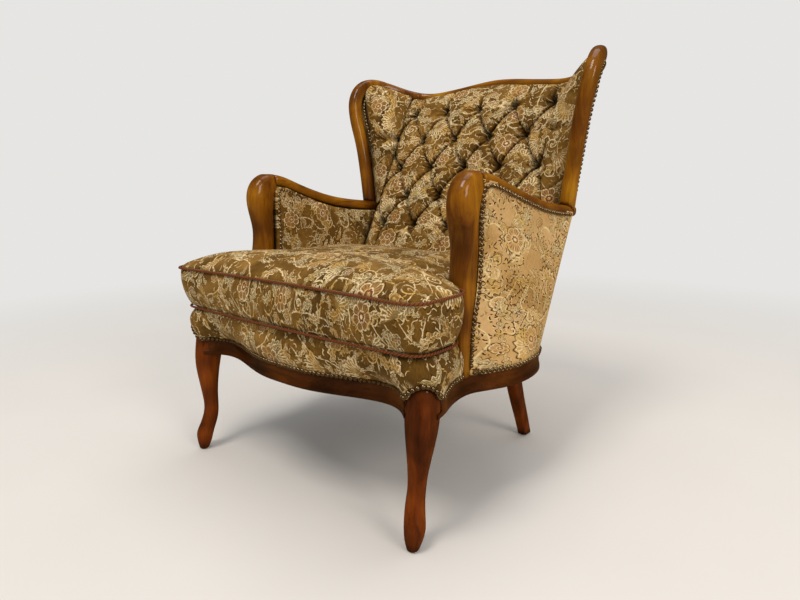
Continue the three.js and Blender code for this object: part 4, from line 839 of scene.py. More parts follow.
def floral(g, cloth, look):
    """Masks of a dense floral: filled shapes, pale lines, red stripes and the dark side of each line, where
    the velvet paints the shade of its pile.
    """
    place = drifted(g, drifted(g, cloth, cloth, 18.0, BROAD_DRIFT), cloth, 95.0, FINE_DRIFT)
    place = g.vector("MULTIPLY", place, (1.0, 1.0, 0.0))
    big, small, bloom, leaves, sprigs, winding = [motif(g, place, name) for name in MOTIFS]
    strokes = flecks(
        g, shifted(g, place, *NETS["strokes"]), look["stroke_cell"], look["stroke_reach"], STROKES_BARE_SHARE)
    dense = g.step(g.noise(shifted(g, place, 5.7, 3.3), 15.0, 1.0), 0.4, 0.5)
    stems = g.math("FRACT", g.math("MULTIPLY", g.noise(shifted(g, place, 7.3, 2.9), 10.0, 0.0), 5.0))
    stem_line = g.band(stems, 0.47, 0.53, 0.025)
    free = g.step(g.noise(shifted(g, place, 3.1, 1.7), 13.0, 1.0), 0.36, 0.44)
    under = times(g, left_of(g, big["fill"]), left_of(g, bloom["fill"]))
    lower = times(g, under, left_of(g, leaves["fill"]), free)
    fill = most(g, big["fill"], bloom["fill"], times(g, leaves["fill"], under),
                times(g, most(g, sprigs["fill"], small["fill"]), lower))
    lines = most(
        g, big["lines"], times(g, bloom["lines"], left_of(g, big["fill"])),
        times(g, leaves["lines"], under),
        times(g, most(g, sprigs["lines"], small["lines"], winding["lines"], stem_line), lower))
    near = most(g, big["near"], times(g, bloom["near"], under), times(g, leaves["near"], under),
                times(g, most(g, sprigs["near"], winding["near"], small["near"]), lower))
    red = g.math("MAXIMUM", big["red"], times(g, small["red"], lower))
    open_ground = times(g, left_of(g, big["fill"]), dense)
    return {
        "fill": fill, "lines": lines, "near": near, "red": red, "tint": leaves["tint"], "big": big["fill"],
        "dark_strokes": times(g, strokes["near"], open_ground),
        "pale_strokes": times(g, strokes["lines"], open_ground),
    }


def cloth_weave(g, place, pitch):
    """Fine ribs of a woven ground, across and along the cloth."""
    x, y, _ = g.split(place)
    ribs = [g.math("SINE", g.math("MULTIPLY", axis, 2 * math.pi / pitch)) for axis in (x, y)]
    return g.math("MULTIPLY", ribs[0], ribs[1])


# How far the painted shade of sheltered places reaches, in metres, and how high pile, threads and pores
# stand, in millimetres
CLOTH_PAINTED_SHADE_REACH = 0.03
WOOD_PAINTED_SHADE_REACH = 0.035
PILE_RELIEF = 1.1
THREAD_RELIEF = 0.4
PORE_RELIEF = 0.3
CORD_RELIEF = 0.3
PATINA_RELIEF = 0.3
STEEL_RELIEF = 0.2
GRAIN_DRIFT = 0.03
HESSIAN_PITCH = 2.2
DUST_PITCH = 1.4
DECK_PITCH = 1.2


def velvet(name, look):
    """Cut velvet: a raised pile ground with flat woven flowers, leaves and scrolls, with painted shade in its
    creases and beside the motifs.
    """
    g = Nodes(name)
    cloth = g.add("ShaderNodeAttribute", attribute_name="cloth").outputs["Vector"]
    pattern = floral(g, cloth, look)
    brushed = g.noise(cloth, 9.0, 3.0, 0.6, 0.8)
    nap = g.noise(g.vector("MULTIPLY", cloth, (1.0, 0.3, 1.0)), 380.0, 2.0)
    mottled = g.math("MULTIPLY_ADD", nap, 0.3, g.math("MULTIPLY_ADD", brushed, 0.95, -0.12))
    ground = g.ramp(mottled, [(0.25, look["pile"][0]), (0.5, look["pile"][1]), (0.78, look["pile"][2])])
    tints = g.noise(cloth, 16.0, 2.0)
    fill = g.mix(g.step(tints, 0.42, 0.6), tone(look["fill"][0]), tone(look["fill"][1]))
    green = times(g, g.step(pattern["tint"], 0.55, 0.6), left_of(g, pattern["big"]), look["green_share"])
    fill = g.mix(green, fill, tone(look["green"]))
    threads = g.noise(g.vector("MULTIPLY", cloth, (0.12, 1.0, 1.0)), 560.0, 1.0)
    fill = g.mix(times(g, g.step(threads, 0.42, 0.62), look["rib_share"]), fill, tone(look["pile"][1]))
    colour = g.mix(times(g, pattern["fill"], look["fill_share"]), ground, fill)
    # Painted shade: a broken dark band beside each motif's outline, where the pile would shade it, joined
    # with the fabric's own dark strokes and mixed in with the fleck colour.
    rough_edge = g.noise(shifted(g, cloth, 1.9, 4.1), 170.0, 1.0)
    broken = g.step(rough_edge, look["fleck_from"], look["fleck_from"] + 0.1)
    dark_strokes = times(g, pattern["dark_strokes"], look["stroke_share"])
    painted_pile_shade_and_strokes = most(g, times(g, pattern["near"], broken), dark_strokes)
    colour = g.mix(times(g, painted_pile_shade_and_strokes, look["fleck_share"]), colour, tone(look["fleck"]))
    dashes = g.step(g.noise(cloth, 210.0, 1.0), 0.3, 0.52)
    bright = most(g, times(g, pattern["lines"], dashes), times(g, pattern["pale_strokes"], 0.8))
    gilt = g.mix(g.step(g.noise(cloth, 30.0, 1.0), 0.5, 0.62), tone(look["line"][0]), tone(look["line"][1]))
    colour = g.mix(times(g, bright, look["line_share"]), colour, gilt)
    colour = g.mix(times(g, pattern["red"], look["red_share"]), colour, tone(look["red"]))
    # Painted shade: where ambient occlusion finds a crease or sheltered place, the colour is darkened towards
    # the look's dark colour, by its shade share.
    painted_ao_shade = g.add("ShaderNodeAmbientOcclusion", {"Distance": CLOTH_PAINTED_SHADE_REACH}, samples=6).outputs["AO"]
    colour = g.mix(g.math("MULTIPLY", g.step(painted_ao_shade, 0.75, 0.2), look["shade"]), colour, tone(look["dark"]))
    height = g.math("MULTIPLY_ADD", pattern["fill"], look["relief"], 0.5)
    height = g.math("MULTIPLY_ADD", bright, 0.45, height)
    height = g.math("MULTIPLY_ADD", painted_pile_shade_and_strokes, -0.4, height)
    height = g.math("MULTIPLY_ADD", nap, 0.3, height)
    normal = g.bump(height, 0.6, PILE_RELIEF)
    normal = g.bump(threads, 0.2, THREAD_RELIEF, normal)
    rough = g.math("MULTIPLY_ADD", pattern["fill"], -0.14, 0.86)
    return g.shade({
        "Base Color": colour, "Roughness": rough, "Normal": normal, "Sheen Weight": 0.2,
        "Sheen Roughness": 0.35, "Sheen Tint": tone("#E6C58A"), "Specular IOR Level": 0.1,
    })


GRAIN = {"x": (0.09, 1.0, 1.0), "y": (1.0, 0.09, 1.0), "z": (1.0, 1.0, 0.09)}


def varnished(name, grain, stops, depth, coat=0.45):
    """Varnished wood with streaked grain, with painted shade darkening it where it is sheltered."""
    g = Nodes(name)
    place = g.add("ShaderNodeTexCoord").outputs["Object"]
    drift = g.vector("SCALE", g.noise(place, 7.0, 1.0, colour=True), scale=GRAIN_DRIFT)
    stretched = g.vector("MULTIPLY", g.vector("ADD", place, drift), GRAIN[grain])
    figure = g.noise(stretched, 34.0, 4.0, 0.55, 0.6)
    pores = g.noise(stretched, 420.0, 3.0, 0.6)
    broad = g.noise(place, 9.0, 2.0)
    value = g.math("MULTIPLY_ADD", figure, 0.6, g.math("MULTIPLY_ADD", broad, 0.7, -0.14))
    value = g.math("MULTIPLY_ADD", pores, 0.18, g.math("SUBTRACT", value, 0.09))
    colour = g.ramp(value, list(zip((0.26, 0.42, 0.58, 0.76), stops)))
    streaks = g.step(g.noise(stretched, 150.0, 2.0, 0.5), 0.6, 0.72)
    colour = g.mix(g.math("MULTIPLY", streaks, 0.35), colour, tone(stops[0]))
    glaze = g.step(g.noise(g.vector("ADD", place, drift), 11.0, 1.0), 0.5, 0.68)
    colour = g.mix(g.math("MULTIPLY", glaze, GLAZE_SHARE), colour, tone(stops[0]))
    # Painted shade: where ambient occlusion finds the wood sheltered, by joints and under other parts, the
    # colour is darkened towards the darkest stop, by the share depth.
    painted_ao_shade = g.add("ShaderNodeAmbientOcclusion", {"Distance": WOOD_PAINTED_SHADE_REACH}, samples=6).outputs["AO"]
    colour = g.mix(g.math("MULTIPLY", g.step(painted_ao_shade, 0.85, 0.35), depth), colour, tone(stops[0]))
    worn = g.noise(place, 60.0, 4.0)
    rough = g.math("MULTIPLY_ADD", worn, 0.2, 0.3)
    normal = g.bump(g.math("MULTIPLY_ADD", worn, 0.5, pores), 0.12, PORE_RELIEF)
    return g.shade({
        "Base Color": colour, "Roughness": rough, "Normal": normal, "Specular IOR Level": 0.1,
        "Coat Weight": coat, "Coat Roughness": 0.05, "Coat IOR": 1.5,
    })


GLAZE_SHARE = 0.4
SHOW_STOPS = ("#3E1E02", "#6E3E04", "#925C08", "#B4821A")
# The seat rails' colours: their own darker, redder wood, made darker still by painted shade for the shadow
# under the padded border.
RAIL_PAINTED_SHADE_STOPS = ("#140600", "#301400", "#4A2300", "#663504")
LEG_STOPS = ("#220B00", "#4A1D00", "#6E3002", "#8C4506")
show_wood = {axis: varnished(f"show_wood_{axis}", axis, SHOW_STOPS, 0.8) for axis in "xyz"}
# Seat rails: their wood carries painted shade in its darker colours.
rail_wood = {axis: varnished(f"rail_wood_{axis}", axis, RAIL_PAINTED_SHADE_STOPS, 0.8, 0.3) for axis in "xy"}
leg_wood = varnished("leg_wood", "z", LEG_STOPS, 0.8, 0.35)


def plain_wood():
    g = Nodes("inner_wood")
    place = g.add("ShaderNodeTexCoord").outputs["Object"]
    stretched = g.vector("MULTIPLY", place, (0.12, 1.0, 1.0))
    figure = g.noise(stretched, 60.0, 4.0, 0.6, 0.5)
    colour = g.ramp(figure, [(0.3, "#8F6C42"), (0.5, "#B08A5A"), (0.7, "#C6A474")])
    normal = g.bump(g.noise(stretched, 500.0, 3.0), 0.3, THREAD_RELIEF)
    return g.shade({"Base Color": colour, "Roughness": 0.7, "Normal": normal})


def bronze():
    """Antique bronze of the nail heads, dark in the hollows and rubbed bright on top."""
    g = Nodes("nails")
    geometry = g.add("ShaderNodeNewGeometry")
    place = g.add("ShaderNodeTexCoord").outputs["Object"]
    patches = g.noise(place, 260.0, 3.0)
    raised = g.math("ADD", geometry.outputs["Pointiness"], g.math("MULTIPLY", patches, 0.1))
    rubbed = g.step(raised, 0.53, 0.66)
    colour = g.mix(rubbed, tone("#2C2012"), tone("#A08A64"))
    rough = g.math("MULTIPLY_ADD", patches, 0.2, 0.12)
    normal = g.bump(patches, 0.2, PATINA_RELIEF)
    return g.shade({"Base Color": colour, "Metallic": 0.85, "Roughness": rough, "Normal": normal})


def twisted_cord():
    g = Nodes("piping")
    place = g.add("ShaderNodeTexCoord").outputs["Object"]
    strand = g.add("ShaderNodeAttribute", attribute_name="strand").outputs["Fac"]
    fibres = g.noise(place, 1500.0, 2.0)
    # Painted shade: the cord is near black in the grooves between its strands, where the strand value is low,
    # and lighter on their crowns.
    colour = g.mix(g.step(strand, 0.15, 0.8), tone("#24100A"), tone("#743C1E"))
    colour = g.mix(g.math("MULTIPLY", g.step(fibres, 0.45, 0.7), 0.4), colour, tone("#94602F"))
    normal = g.bump(fibres, 0.4, CORD_RELIEF)
    return g.shade({"Base Color": colour, "Roughness": 0.8, "Normal": normal, "Specular IOR Level": 0.15})


def woven(name, dark, light, pitch):
    g = Nodes(name)
    place = g.add("ShaderNodeTexCoord").outputs["Object"]
    weave = cloth_weave(g, place, pitch * MM)
    slubs = g.noise(place, 240.0, 3.0)
    colour = g.mix(g.math("MULTIPLY_ADD", weave, 0.25, slubs), tone(dark), tone(light))
    return g.shade({"Base Color": colour, "Roughness": 0.92, "Normal": g.bump(weave, 0.5, pitch / 3)})


def steel(name, dark, light, rough):
    g = Nodes(name)
    place = g.add("ShaderNodeTexCoord").outputs["Object"]
    patches = g.noise(place, 150.0, 4.0)
    colour = g.mix(patches, tone(dark), tone(light))
    roughness = g.math("MULTIPLY_ADD", patches, 0.25, rough)
    normal = g.bump(patches, 0.1, STEEL_RELIEF)
    return g.shade({"Base Color": colour, "Metallic": 0.9, "Roughness": roughness, "Normal": normal})


# In each look, dark and shade are the colour and share of the painted shade in sheltered places; fleck
# colours the painted pile shade beside the motifs and the dark strokes.
INSIDE = {
    "pile": ("#3E2A0A", "#6A4B1A", "#987236"), "fill": ("#967640", "#B69258"), "fill_share": 0.62,
    "line": ("#E8D2A2", "#CFA860"), "line_share": 0.92, "red": "#6A2630", "red_share": 0.85,
    "green": "#868462", "green_share": 0.65, "rib_share": 0.45, "fleck": "#281A06", "fleck_from": 0.4,
    "fleck_share": 0.75, "stroke_share": 0.4, "stroke_cell": 0.0125, "stroke_reach": 0.0046,
    "relief": -0.45, "shade": 0.8, "dark": "#1E1204",
}
# The outside covers' look: a lighter copy of the same velvet, whose paler pile, fill and shade colours are
# painted sheen and light on the outside faces; its strokes are finer and denser.
OUTSIDE_PAINTED_SHEEN = {
    "pile": ("#946E36", "#BE9860", "#D6B27E"), "fill": ("#9A7238", "#C0985C"), "fill_share": 0.7,
    "line": ("#EED8A0", "#DCB862"), "line_share": 0.75, "red": "#6A3040", "red_share": 0.8,
    "green": "#9C9878", "green_share": 0.6, "rib_share": 0.6, "fleck": "#42240A", "fleck_from": 0.25,
    "fleck_share": 1.0, "stroke_share": 1.0, "stroke_cell": 0.0084, "stroke_reach": 0.004,
    "relief": -0.35, "shade": 0.5, "dark": "#6A4824",
}
inside_velvet = velvet("velvet", INSIDE)
outside_velvet = velvet("outside_velvet", OUTSIDE_PAINTED_SHEEN)
inner_wood = plain_wood()
nail_metal = bronze()
piping_cord = twisted_cord()
hessian = woven("hessian", "#6E5836", "#B09468", HESSIAN_PITCH)
dust_cloth = woven("dust_cloth", "#1C1A18", "#3A3733", DUST_PITCH)
deck_cloth = woven("deck_cloth", "#6A5532", "#93794C", DECK_PITCH)
spring_steel = steel("spring_steel", "#4A4A48", "#8C8C88", 0.3)
glide_steel = steel("glide_steel", "#8E8C86", "#C9C7C0", 0.25)

for plain_node, plain_look in (
    ("back_tack_rail", inner_wood), ("back_hessian", hessian), ("seat_hessian", hessian),
    *((f"{name}_{word}", inner_wood) for name in ("corner_block", "back_upright") for _, word in SIDES),
    *((f"{name}_{word}", glide_steel) for name in ("front_glide", "rear_glide") for _, word in SIDES),
    *((f"seat_spring_{number}", spring_steel) for number in range(1, 6)),
):
    frame["nodes"][plain_node].data.materials.clear()
    frame["nodes"][plain_node].data.materials.append(plain_look)


# Show-wood and rails: finer copies of the CAD pieces
RAIL_ANGLE = 50
RAIL_BEVEL = 1.2


def wood_pieces():
    smooth_copy("front_seat_rail", "front_rail", "rail_wood", rail_wood["x"], 2, RAIL_ANGLE, RAIL_BEVEL)
    smooth_copy("back_seat_rail", "back_rail", "rail_wood", rail_wood["x"], 1, RAIL_ANGLE, RAIL_BEVEL)
    smooth_copy("crest_rail", "crest", "show_wood", show_wood["x"])
    for _, word in SIDES:
        side_rail = f"side_seat_rail_{word}", f"side_rail_{word}"
        smooth_copy(*side_rail, "rail_wood", rail_wood["y"], 2, RAIL_ANGLE, RAIL_BEVEL)
        for node, name, wood in (
            ("front_leg", "front_cabriole", leg_wood), ("rear_leg", "rear_foot", leg_wood),
            ("arm_post", "post", show_wood["z"]), ("arm_rail", "armrest", show_wood["y"]),
            ("wing_rail", "wing", show_wood["z"]),
        ):
            smooth_copy(f"{node}_{word}", f"{name}_{word}", "show_wood", wood)


# Outside covers: stretched cloth over the frame, laid back along the side and in round the bend to the back
SIDE_RUN_SHARE, SIDE_TURN_SHARE, SIDE_SLANT_SHARE = 0.85, 0.8, 0.1
SIDE_CLOTH_START = 0.56
BACK_LEAN_SHARE = 1.11


def cover(node, name, lay, levels=2):
    # Outside covers take the velvet's lighter copy with painted sheen.
    obj = smooth_copy(node, name, "outside_velvet", outside_velvet, levels)
    set_cloth(obj, lay)


def side_lay(side):
    def lay(x, y, z):
        run = side * (SIDE_RUN_SHARE * y - SIDE_TURN_SHARE * abs(x))
        return run + SIDE_CLOTH_START, z + SIDE_SLANT_SHARE * y
    return lay


def cover_pieces():
    for side, word in SIDES:
        cover(f"arm_outside_cover_{word}", f"outside_arm_{word}", side_lay(side))
        cover(f"wing_outside_cover_{word}", f"outside_wing_{word}", side_lay(side))
    cover("outside_back_cover", "outside_back", lambda x, y, z: (x, z * BACK_LEAN_SHARE), 3)


# Tufted back
TUFT_PIT = 26.0
PIT_SPREAD = 12.0
PIT_POWER = 1.4
BACK_PROUD = 4.0
FADE_REACH = 90.0
FADE_SHARE = 0.35
FOLD_COUNTS = (6, 9)
FOLD_HEIGHTS = (2.0, 3.4)
FOLD_REACHES = (13.0, 19.0)
FOLD_SPREAD = 14.0
FOLD_TWIST = 0.015
BACK_BOTTOM = 352.0
BACK_COLUMNS, BACK_ROWS = 300, 310
BACK_OVERLAP = 3.0
# Where each cover is cut from the flat cloth, in metres
BACK_CLOTH = (0.02, 0.2)
WING_CLOTH = 0.11
ARM_CLOTH = (0.11, 0.05)
BORDER_CLOTH = (0.33, -0.05)
CREASE_DEPTH = 20.0
GROOVE_DEPTH = 5.0
GROOVE_HALF = 3.0
CREST_SHOWS = 7.0
EDGE_ROUND = 30.0
EDGE_DROP = 26.0
WRINKLE = 1.7
WRINKLE_REACH = 15.0
TUFT_TOP = TUFT_FIRST_Z + TUFT_Z * (TUFT_ROWS - 1)


def tuft_places():
    places = []
    for row in range(TUFT_ROWS):
        offset = 0.0 if row % 2 == 0 else TUFT_X / 2
        for step in range(-3, 4):
            x = step * TUFT_X + offset
            if abs(x) < BACK_PAD_HALF + TUFT_X / 4:
                places.append((x, TUFT_FIRST_Z + row * TUFT_Z))
    return places


def tufted_depth(x, z):
    """How far the back's face stands in front of its hessian, for arrays of places."""
    rise = np.clip(z, TUFT_FIRST_Z, TUFT_TOP) - TUFT_FIRST_Z
    one = x / TUFT_X + rise / (2 * TUFT_Z)
    other = x / TUFT_X - rise / (2 * TUFT_Z)
    pillow = np.abs(np.sin(np.pi * one) * np.sin(np.pi * other))
    beyond = np.maximum(TUFT_FIRST_Z - z, 0) + np.maximum(z - TUFT_TOP, 0)
    shallow = np.clip(1 - beyond / FADE_REACH, FADE_SHARE, 1)
    swell = np.sqrt(np.clip(1 - (1 - pillow ** 0.5) ** 2, 0, 1))
    depth = PAD_DEPTH + BACK_PROUD - CREASE_DEPTH * shallow * (1 - swell)
    slope = math.hypot(1 / TUFT_X, 0.5 / TUFT_Z)
    for line, waves in ((one, other), (other, one)):
        away = np.abs(line - np.round(line)) / slope
        strength = 0.6 + 0.4 * np.sin(2.7 * np.round(line) + 1.9 * np.floor(waves))
        depth = depth - GROOVE_DEPTH * shallow * strength * hump(away, GROOVE_HALF)
        folds = np.sin(2 * np.pi * (7.3 * waves + 0.7 * np.sin(5.0 * waves + 2.0 * np.round(line))))
        depth = depth + WRINKLE * shallow * folds * hump(away, WRINKLE_REACH)
    generator = random.Random(11)
    for tuft_x, tuft_z in tuft_places():
        dx, dz = x - tuft_x, z - tuft_z
        away = np.hypot(dx, dz)
        angle = np.arctan2(dz, dx)
        depth = depth - TUFT_PIT * np.exp(-((away / PIT_SPREAD) ** PIT_POWER))
        for folds in FOLD_COUNTS:
            phase = generator.uniform(0, 2 * math.pi)
            strength = generator.uniform(*FOLD_HEIGHTS)
            reach = generator.uniform(*FOLD_REACHES)
            ridges = np.abs(np.cos(folds / 2 * angle + phase + away * FOLD_TWIST)) ** 0.8
            depth = depth + strength * hump(away - reach, FOLD_SPREAD) * (2 * ridges - 1.3)
    roll = np.clip((z - (CREST_MIDDLE_Z - PAD_ROLL)) / PAD_ROLL, 0, 1)
    return depth * (1 - 0.1 * roll) - PAD_ROLL_DEPTH * 0.8 * roll ** 2


def tufted_back():
    half = BACK_PAD_HALF + BACK_OVERLAP
    xs = np.linspace(-half, half, BACK_COLUMNS + 1)
    tops = np.array([crest_height(x) for x in xs]) - CREST_SHOWS
    edge = np.clip((half - np.abs(xs)) / EDGE_ROUND, 0, 1)
    front, back = [], []
    for rise in shares(BACK_ROWS):
        zs = BACK_BOTTOM + (tops - BACK_BOTTOM) * rise
        depths = tufted_depth(xs, zs)
        depths = depths - EDGE_DROP * (1 - np.sqrt(1 - (1 - edge) ** 2))
        faces = back_y(zs) - PAD_INSET
        front.append([vec(x, y - depth, z) for x, y, depth, z in zip(xs, faces, depths, zs)])
        back.append([vec(x, y - 1, z) for x, y, z in zip(xs, faces, zs)])
    mesh = grid_shell("tufted_back", front, back)
    obj = finish_mesh("tufted_back", mesh, "frame", inside_velvet, ["back_pad"])
    set_cloth(obj, lambda x, y, z: (x + BACK_CLOTH[0], z * 0.96 + y * 0.6 + BACK_CLOTH[1]))


def lay_rows(obj, front, side):
    """Lays the cloth of a slab made by grid_shell along its rows, so that its pattern isn't stretched."""
    flat = []
    for row in front:
        for length, place in zip(line_lengths(row), row):
            flat.append((side * length * MM, place[2] * 1.05 * MM + WING_CLOTH, 0))
    store_cloth(obj.data, flat + flat)


# Padded inside of a wing, from the wing wood to the crease beside the back
PLEAT_Z = 738.0
PLEAT_DEPTH = 12.0
PLEAT_SPREAD = 7.0
PLEAT_ROLL = 6.0
PLEAT_ROLL_AWAY = 24.0
PLEAT_ROLL_SPREAD = 16.0
WING_REACH = 50.0
WING_SINK = 14.0
WING_SEAM_DEPTH = 14.0
WING_SEAM_SHARE = 0.14
WING_BACK = 12.0
WING_FACING = vec(0.8, 0.6, 0)
WING_PAD_COLUMNS, WING_PAD_ROWS = 56, 90


def wing_crown(along, rise, z):
    """How far the pad stands out over its chord, with the pleat across it and the seam beside the back."""
    crown = WING_CROWN * math.sin(math.pi * along ** 1.4) ** 0.55 * math.sin(math.pi * rise ** 1.5) ** 0.4
    pleat = PLEAT_DEPTH * hump(z - PLEAT_Z, PLEAT_SPREAD) * smooth_step(along * 2.2)
    beside = abs(z - PLEAT_Z) - PLEAT_ROLL_AWAY
    roll = PLEAT_ROLL * hump(beside, PLEAT_ROLL_SPREAD) * math.sin(math.pi * along)
    seam = WING_SEAM_DEPTH * smooth_step((along - 1 + WING_SEAM_SHARE) / WING_SEAM_SHARE) ** 2
    return crown + roll - pleat - seam


def wing_pad(side, word):
    foot = ARM_LEVEL + BEAD_HEIGHT - WING_SINK
    start = frame_at(0)["centre"]
    crease_x = BACK_PAD_HALF - 2
    low_y = back_y(foot) - PAD_INSET - PAD_DEPTH + BEAD_HEIGHT
    front, back = [], []
    for rise in shares(WING_PAD_ROWS):
        line, rear = [], []
        for along in shares(WING_PAD_COLUMNS):
            low = vec(
                lerp(start[0] - WOOD_THICK / 2 + FIT, crease_x, along),
                lerp(start[1] + BEAD_HEIGHT, low_y, along), foot)
            top = frame_at(lerp(*WING_PAD_RUN, along) / FRAME_STEPS)
            high = top["centre"] - top["out"] * BEAD_HEIGHT
            high[0] = max(high[0], crease_x)
            place = lerp(low, high, rise)
            face = place - WING_FACING * wing_crown(along, rise, place[2])
            face[0] = max(face[0], crease_x - WING_REACH)
            line.append(mirrored(side, face))
            rear.append(mirrored(side, place + WING_FACING * WING_BACK))
        front.append(line)
        back.append(rear)
    mesh = grid_shell(f"wing_cushioning_{word}", front, back)
    obj = finish_mesh(f"wing_cushioning_{word}", mesh, "frame", inside_velvet, [f"wing_pad_{word}"])
    lay_rows(obj, front, side)


# Padded inside of an arm
ARM_PAD_LOW = RAIL_TOP + FIT + 2.0
ARM_PAD_TUCK = 2.0
ARM_PAD_SHORT = 20.0
ARM_PAD_LAP = 3.5
ARM_PAD_THICK = 24.0
ARM_SWELL = 4.4
ARM_PAD_COLUMNS, ARM_PAD_ROWS = 70, 50


def arm_pad_face(y, z):
    row = arm_row(y)
    rise = (z - ARM_PAD_LOW) / (row["bottom"] + ARM_HEIGHT[1] / 2 - ARM_PAD_LOW)
    return lerp(ARM_PAD_X, row["inner"] + FIT, rise ** 2.2)


def arm_pad(side, word):
    front, back = [], []
    for rise in shares(ARM_PAD_ROWS):
        line, rear = [], []
        rear_y = post_row(lerp(ARM_PAD_LOW, ARM_LEVEL, rise))["rear"]
        for along in shares(ARM_PAD_COLUMNS):
            rail_end = arm_row(lerp(POST_JOINT_Y, ARM_END_Y, along))["bottom"] + ARM_PAD_TUCK
            head = lerp(ARM_PAD_LOW, rail_end, rise)
            y = lerp(rear_y + FIT, back_y(head) - PAD_INSET - ARM_PAD_SHORT, along)
            swell = ARM_SWELL * math.sin(math.pi * clamp(rise * 1.05 - 0.05)) ** 0.7
            swell *= smooth_step((along - 0.03) / 0.15) * smooth_step((1 - along) / 0.1)
            x = min(arm_pad_face(y, head), arm_row(y)["inner"] + ARM_PAD_LAP) - swell
            line.append(vec(side * x, y, head))
            rear.append(vec(side * (x + ARM_PAD_THICK), y, head))
        front.append(line)
        back.append(rear)
    mesh = grid_shell(f"arm_cushioning_{word}", front, back)
    obj = finish_mesh(f"arm_cushioning_{word}", mesh, "frame", inside_velvet, [f"arm_pad_{word}"])
    set_cloth(obj, lambda x, y, z: (side * y + ARM_CLOTH[0], z * 1.03 + ARM_CLOTH[1]))


# Padded border below the cushion
BORDER_COLUMNS, BORDER_RISES = 260, 14
BORDER_FOOT = 0.1  # share of its height that the nails hold flat
BORDER_PROUD = 0.8
BORDER_CROWN = 1.0
BORDER_HEM = 30.0
BORDER_HIDDEN = BORDER_THICK - 2.0
BORDER_FOOT_THICK = 4.0
TUCKS = 46
TUCK_SHARES = (0.004, 0.009)
TUCK_DEPTHS = (0.5, 1.6)


def border():
    foot, top, foot_normals, top_normals = border_lines(BORDER_COLUMNS)
    generator = random.Random(5)
    tucks = [
        (generator.uniform(0, 1), generator.uniform(*TUCK_SHARES), generator.uniform(*TUCK_DEPTHS))
        for _ in range(TUCKS)
    ]
    rings = []
    for step, share in enumerate(shares(BORDER_COLUMNS)):
        pucker = sum(depth * hump(share - spot, wide) for spot, wide, depth in tucks)
        ring = []
        for rise in shares(BORDER_RISES):
            place = lerp(foot[step], top[step], rise)
            normal = unit(lerp(foot_normals[step], top_normals[step], rise))
            bulge = BORDER_BULGE * math.sin(math.pi * clamp((rise - BORDER_FOOT) / (1 - BORDER_FOOT))) ** 0.8
            low = pucker * hump(rise, 0.35) + 0.6 * pucker * hump(1 - rise, 0.3)
            ring.append(place - normal * (bulge + BORDER_PROUD - low))
        hidden = top[step] + top_normals[step] * BORDER_HIDDEN
        ring += [hidden + vec(0, 0, BORDER_CROWN), hidden - vec(0, 0, BORDER_HEM)]
        ring.append(foot[step] + foot_normals[step] * BORDER_FOOT_THICK)
        rings.append(ring)
    mesh = closed_rings("border", rings)
    obj = finish_mesh("border", mesh, "frame", inside_velvet, ["front_border_pad"])
    runs = np.repeat(line_lengths(foot) * MM, len(rings[0]))
    heights = point_values(mesh)[:, 2]
    store_cloth(mesh, np.stack([runs + BORDER_CLOTH[0], heights + BORDER_CLOTH[1], 0 * runs], axis=1))


# Loose cushion
def bend(start, control, end, count):
    """Points after the start of a quadratic curve in plan."""
    start, control, end = [np.asarray(p, float) for p in (start, control, end)]
    return [(1 - t) ** 2 * start + 2 * t * (1 - t) * control + t ** 2 * end for t in shares(count)[1:]]


def cushion_outline(ear, hollow, inset, fine=1):
    """A closed outline in plan; outlines made with one fine match point by point."""
    ear_x, ear_y = ear
    corner, ear_corner = CUSHION_CORNER, 1.5 * CUSHION_CORNER
    rear_x, rear_y, waist_y = CUSHION_REAR_X - inset, CUSHION_REAR_Y - inset, CUSHION_WAIST_Y - inset
    front_y = ear_y + hollow
    points = [np.array([0.0, front_y])]
    legs = [
        (((ear_x - corner) / 2, front_y), (ear_x - corner, ear_y), 20 * fine),
        ((ear_x, ear_y), (ear_x, ear_y + corner), 6 * fine),
        (None, (ear_x, waist_y - ear_corner), 5 * fine),
        ((ear_x, waist_y), (ear_x - ear_corner, waist_y), 8 * fine),
        (None, (rear_x + corner / 4, waist_y), 3 * fine),
        ((rear_x, waist_y), (rear_x, waist_y + corner / 4), 3 * fine),
        (None, (rear_x, rear_y - corner), 14 * fine),
        ((rear_x, rear_y), (rear_x - corner, rear_y), 6 * fine),
        (None, (0, rear_y), 16 * fine),
    ]
    for control, end, count in legs:
        start = points[-1]
        control = (start + np.asarray(end, float)) / 2 if control is None else control
        points += bend(start, control, end, count)
    return points + [np.array([-p[0], p[1]]) for p in points[1:-1][::-1]]


def edge_normals(outline):
    normals = []
    for step in range(len(outline)):
        along = outline[(step + 1) % len(outline)] - outline[step - 1]
        along = along / np.linalg.norm(along)
        normals.append(np.array([along[1], -along[0]]))
    return normals


upper_edge = cushion_outline(EAR_UPPER, CUSHION_HOLLOW, 0)
lower_edge = cushion_outline(EAR_LOWER, -CUSHION_BOW, PIPING)
CUSHION_CENTRE = np.array([0.0, CUSHION_WAIST_Y - CUSHION_CORNER / 2])


UNDER_GAP = 0.3
UNDER_SHARES = (0.02, 0.4, 0.93)
CROWN_SHARES = (0.985, 0.96, 0.92, 0.86, 0.78, 0.68, 0.56, 0.42, 0.27, 0.12, 0.02)
CROWN_HEIGHT = 0.93 * CUSHION_CROWN


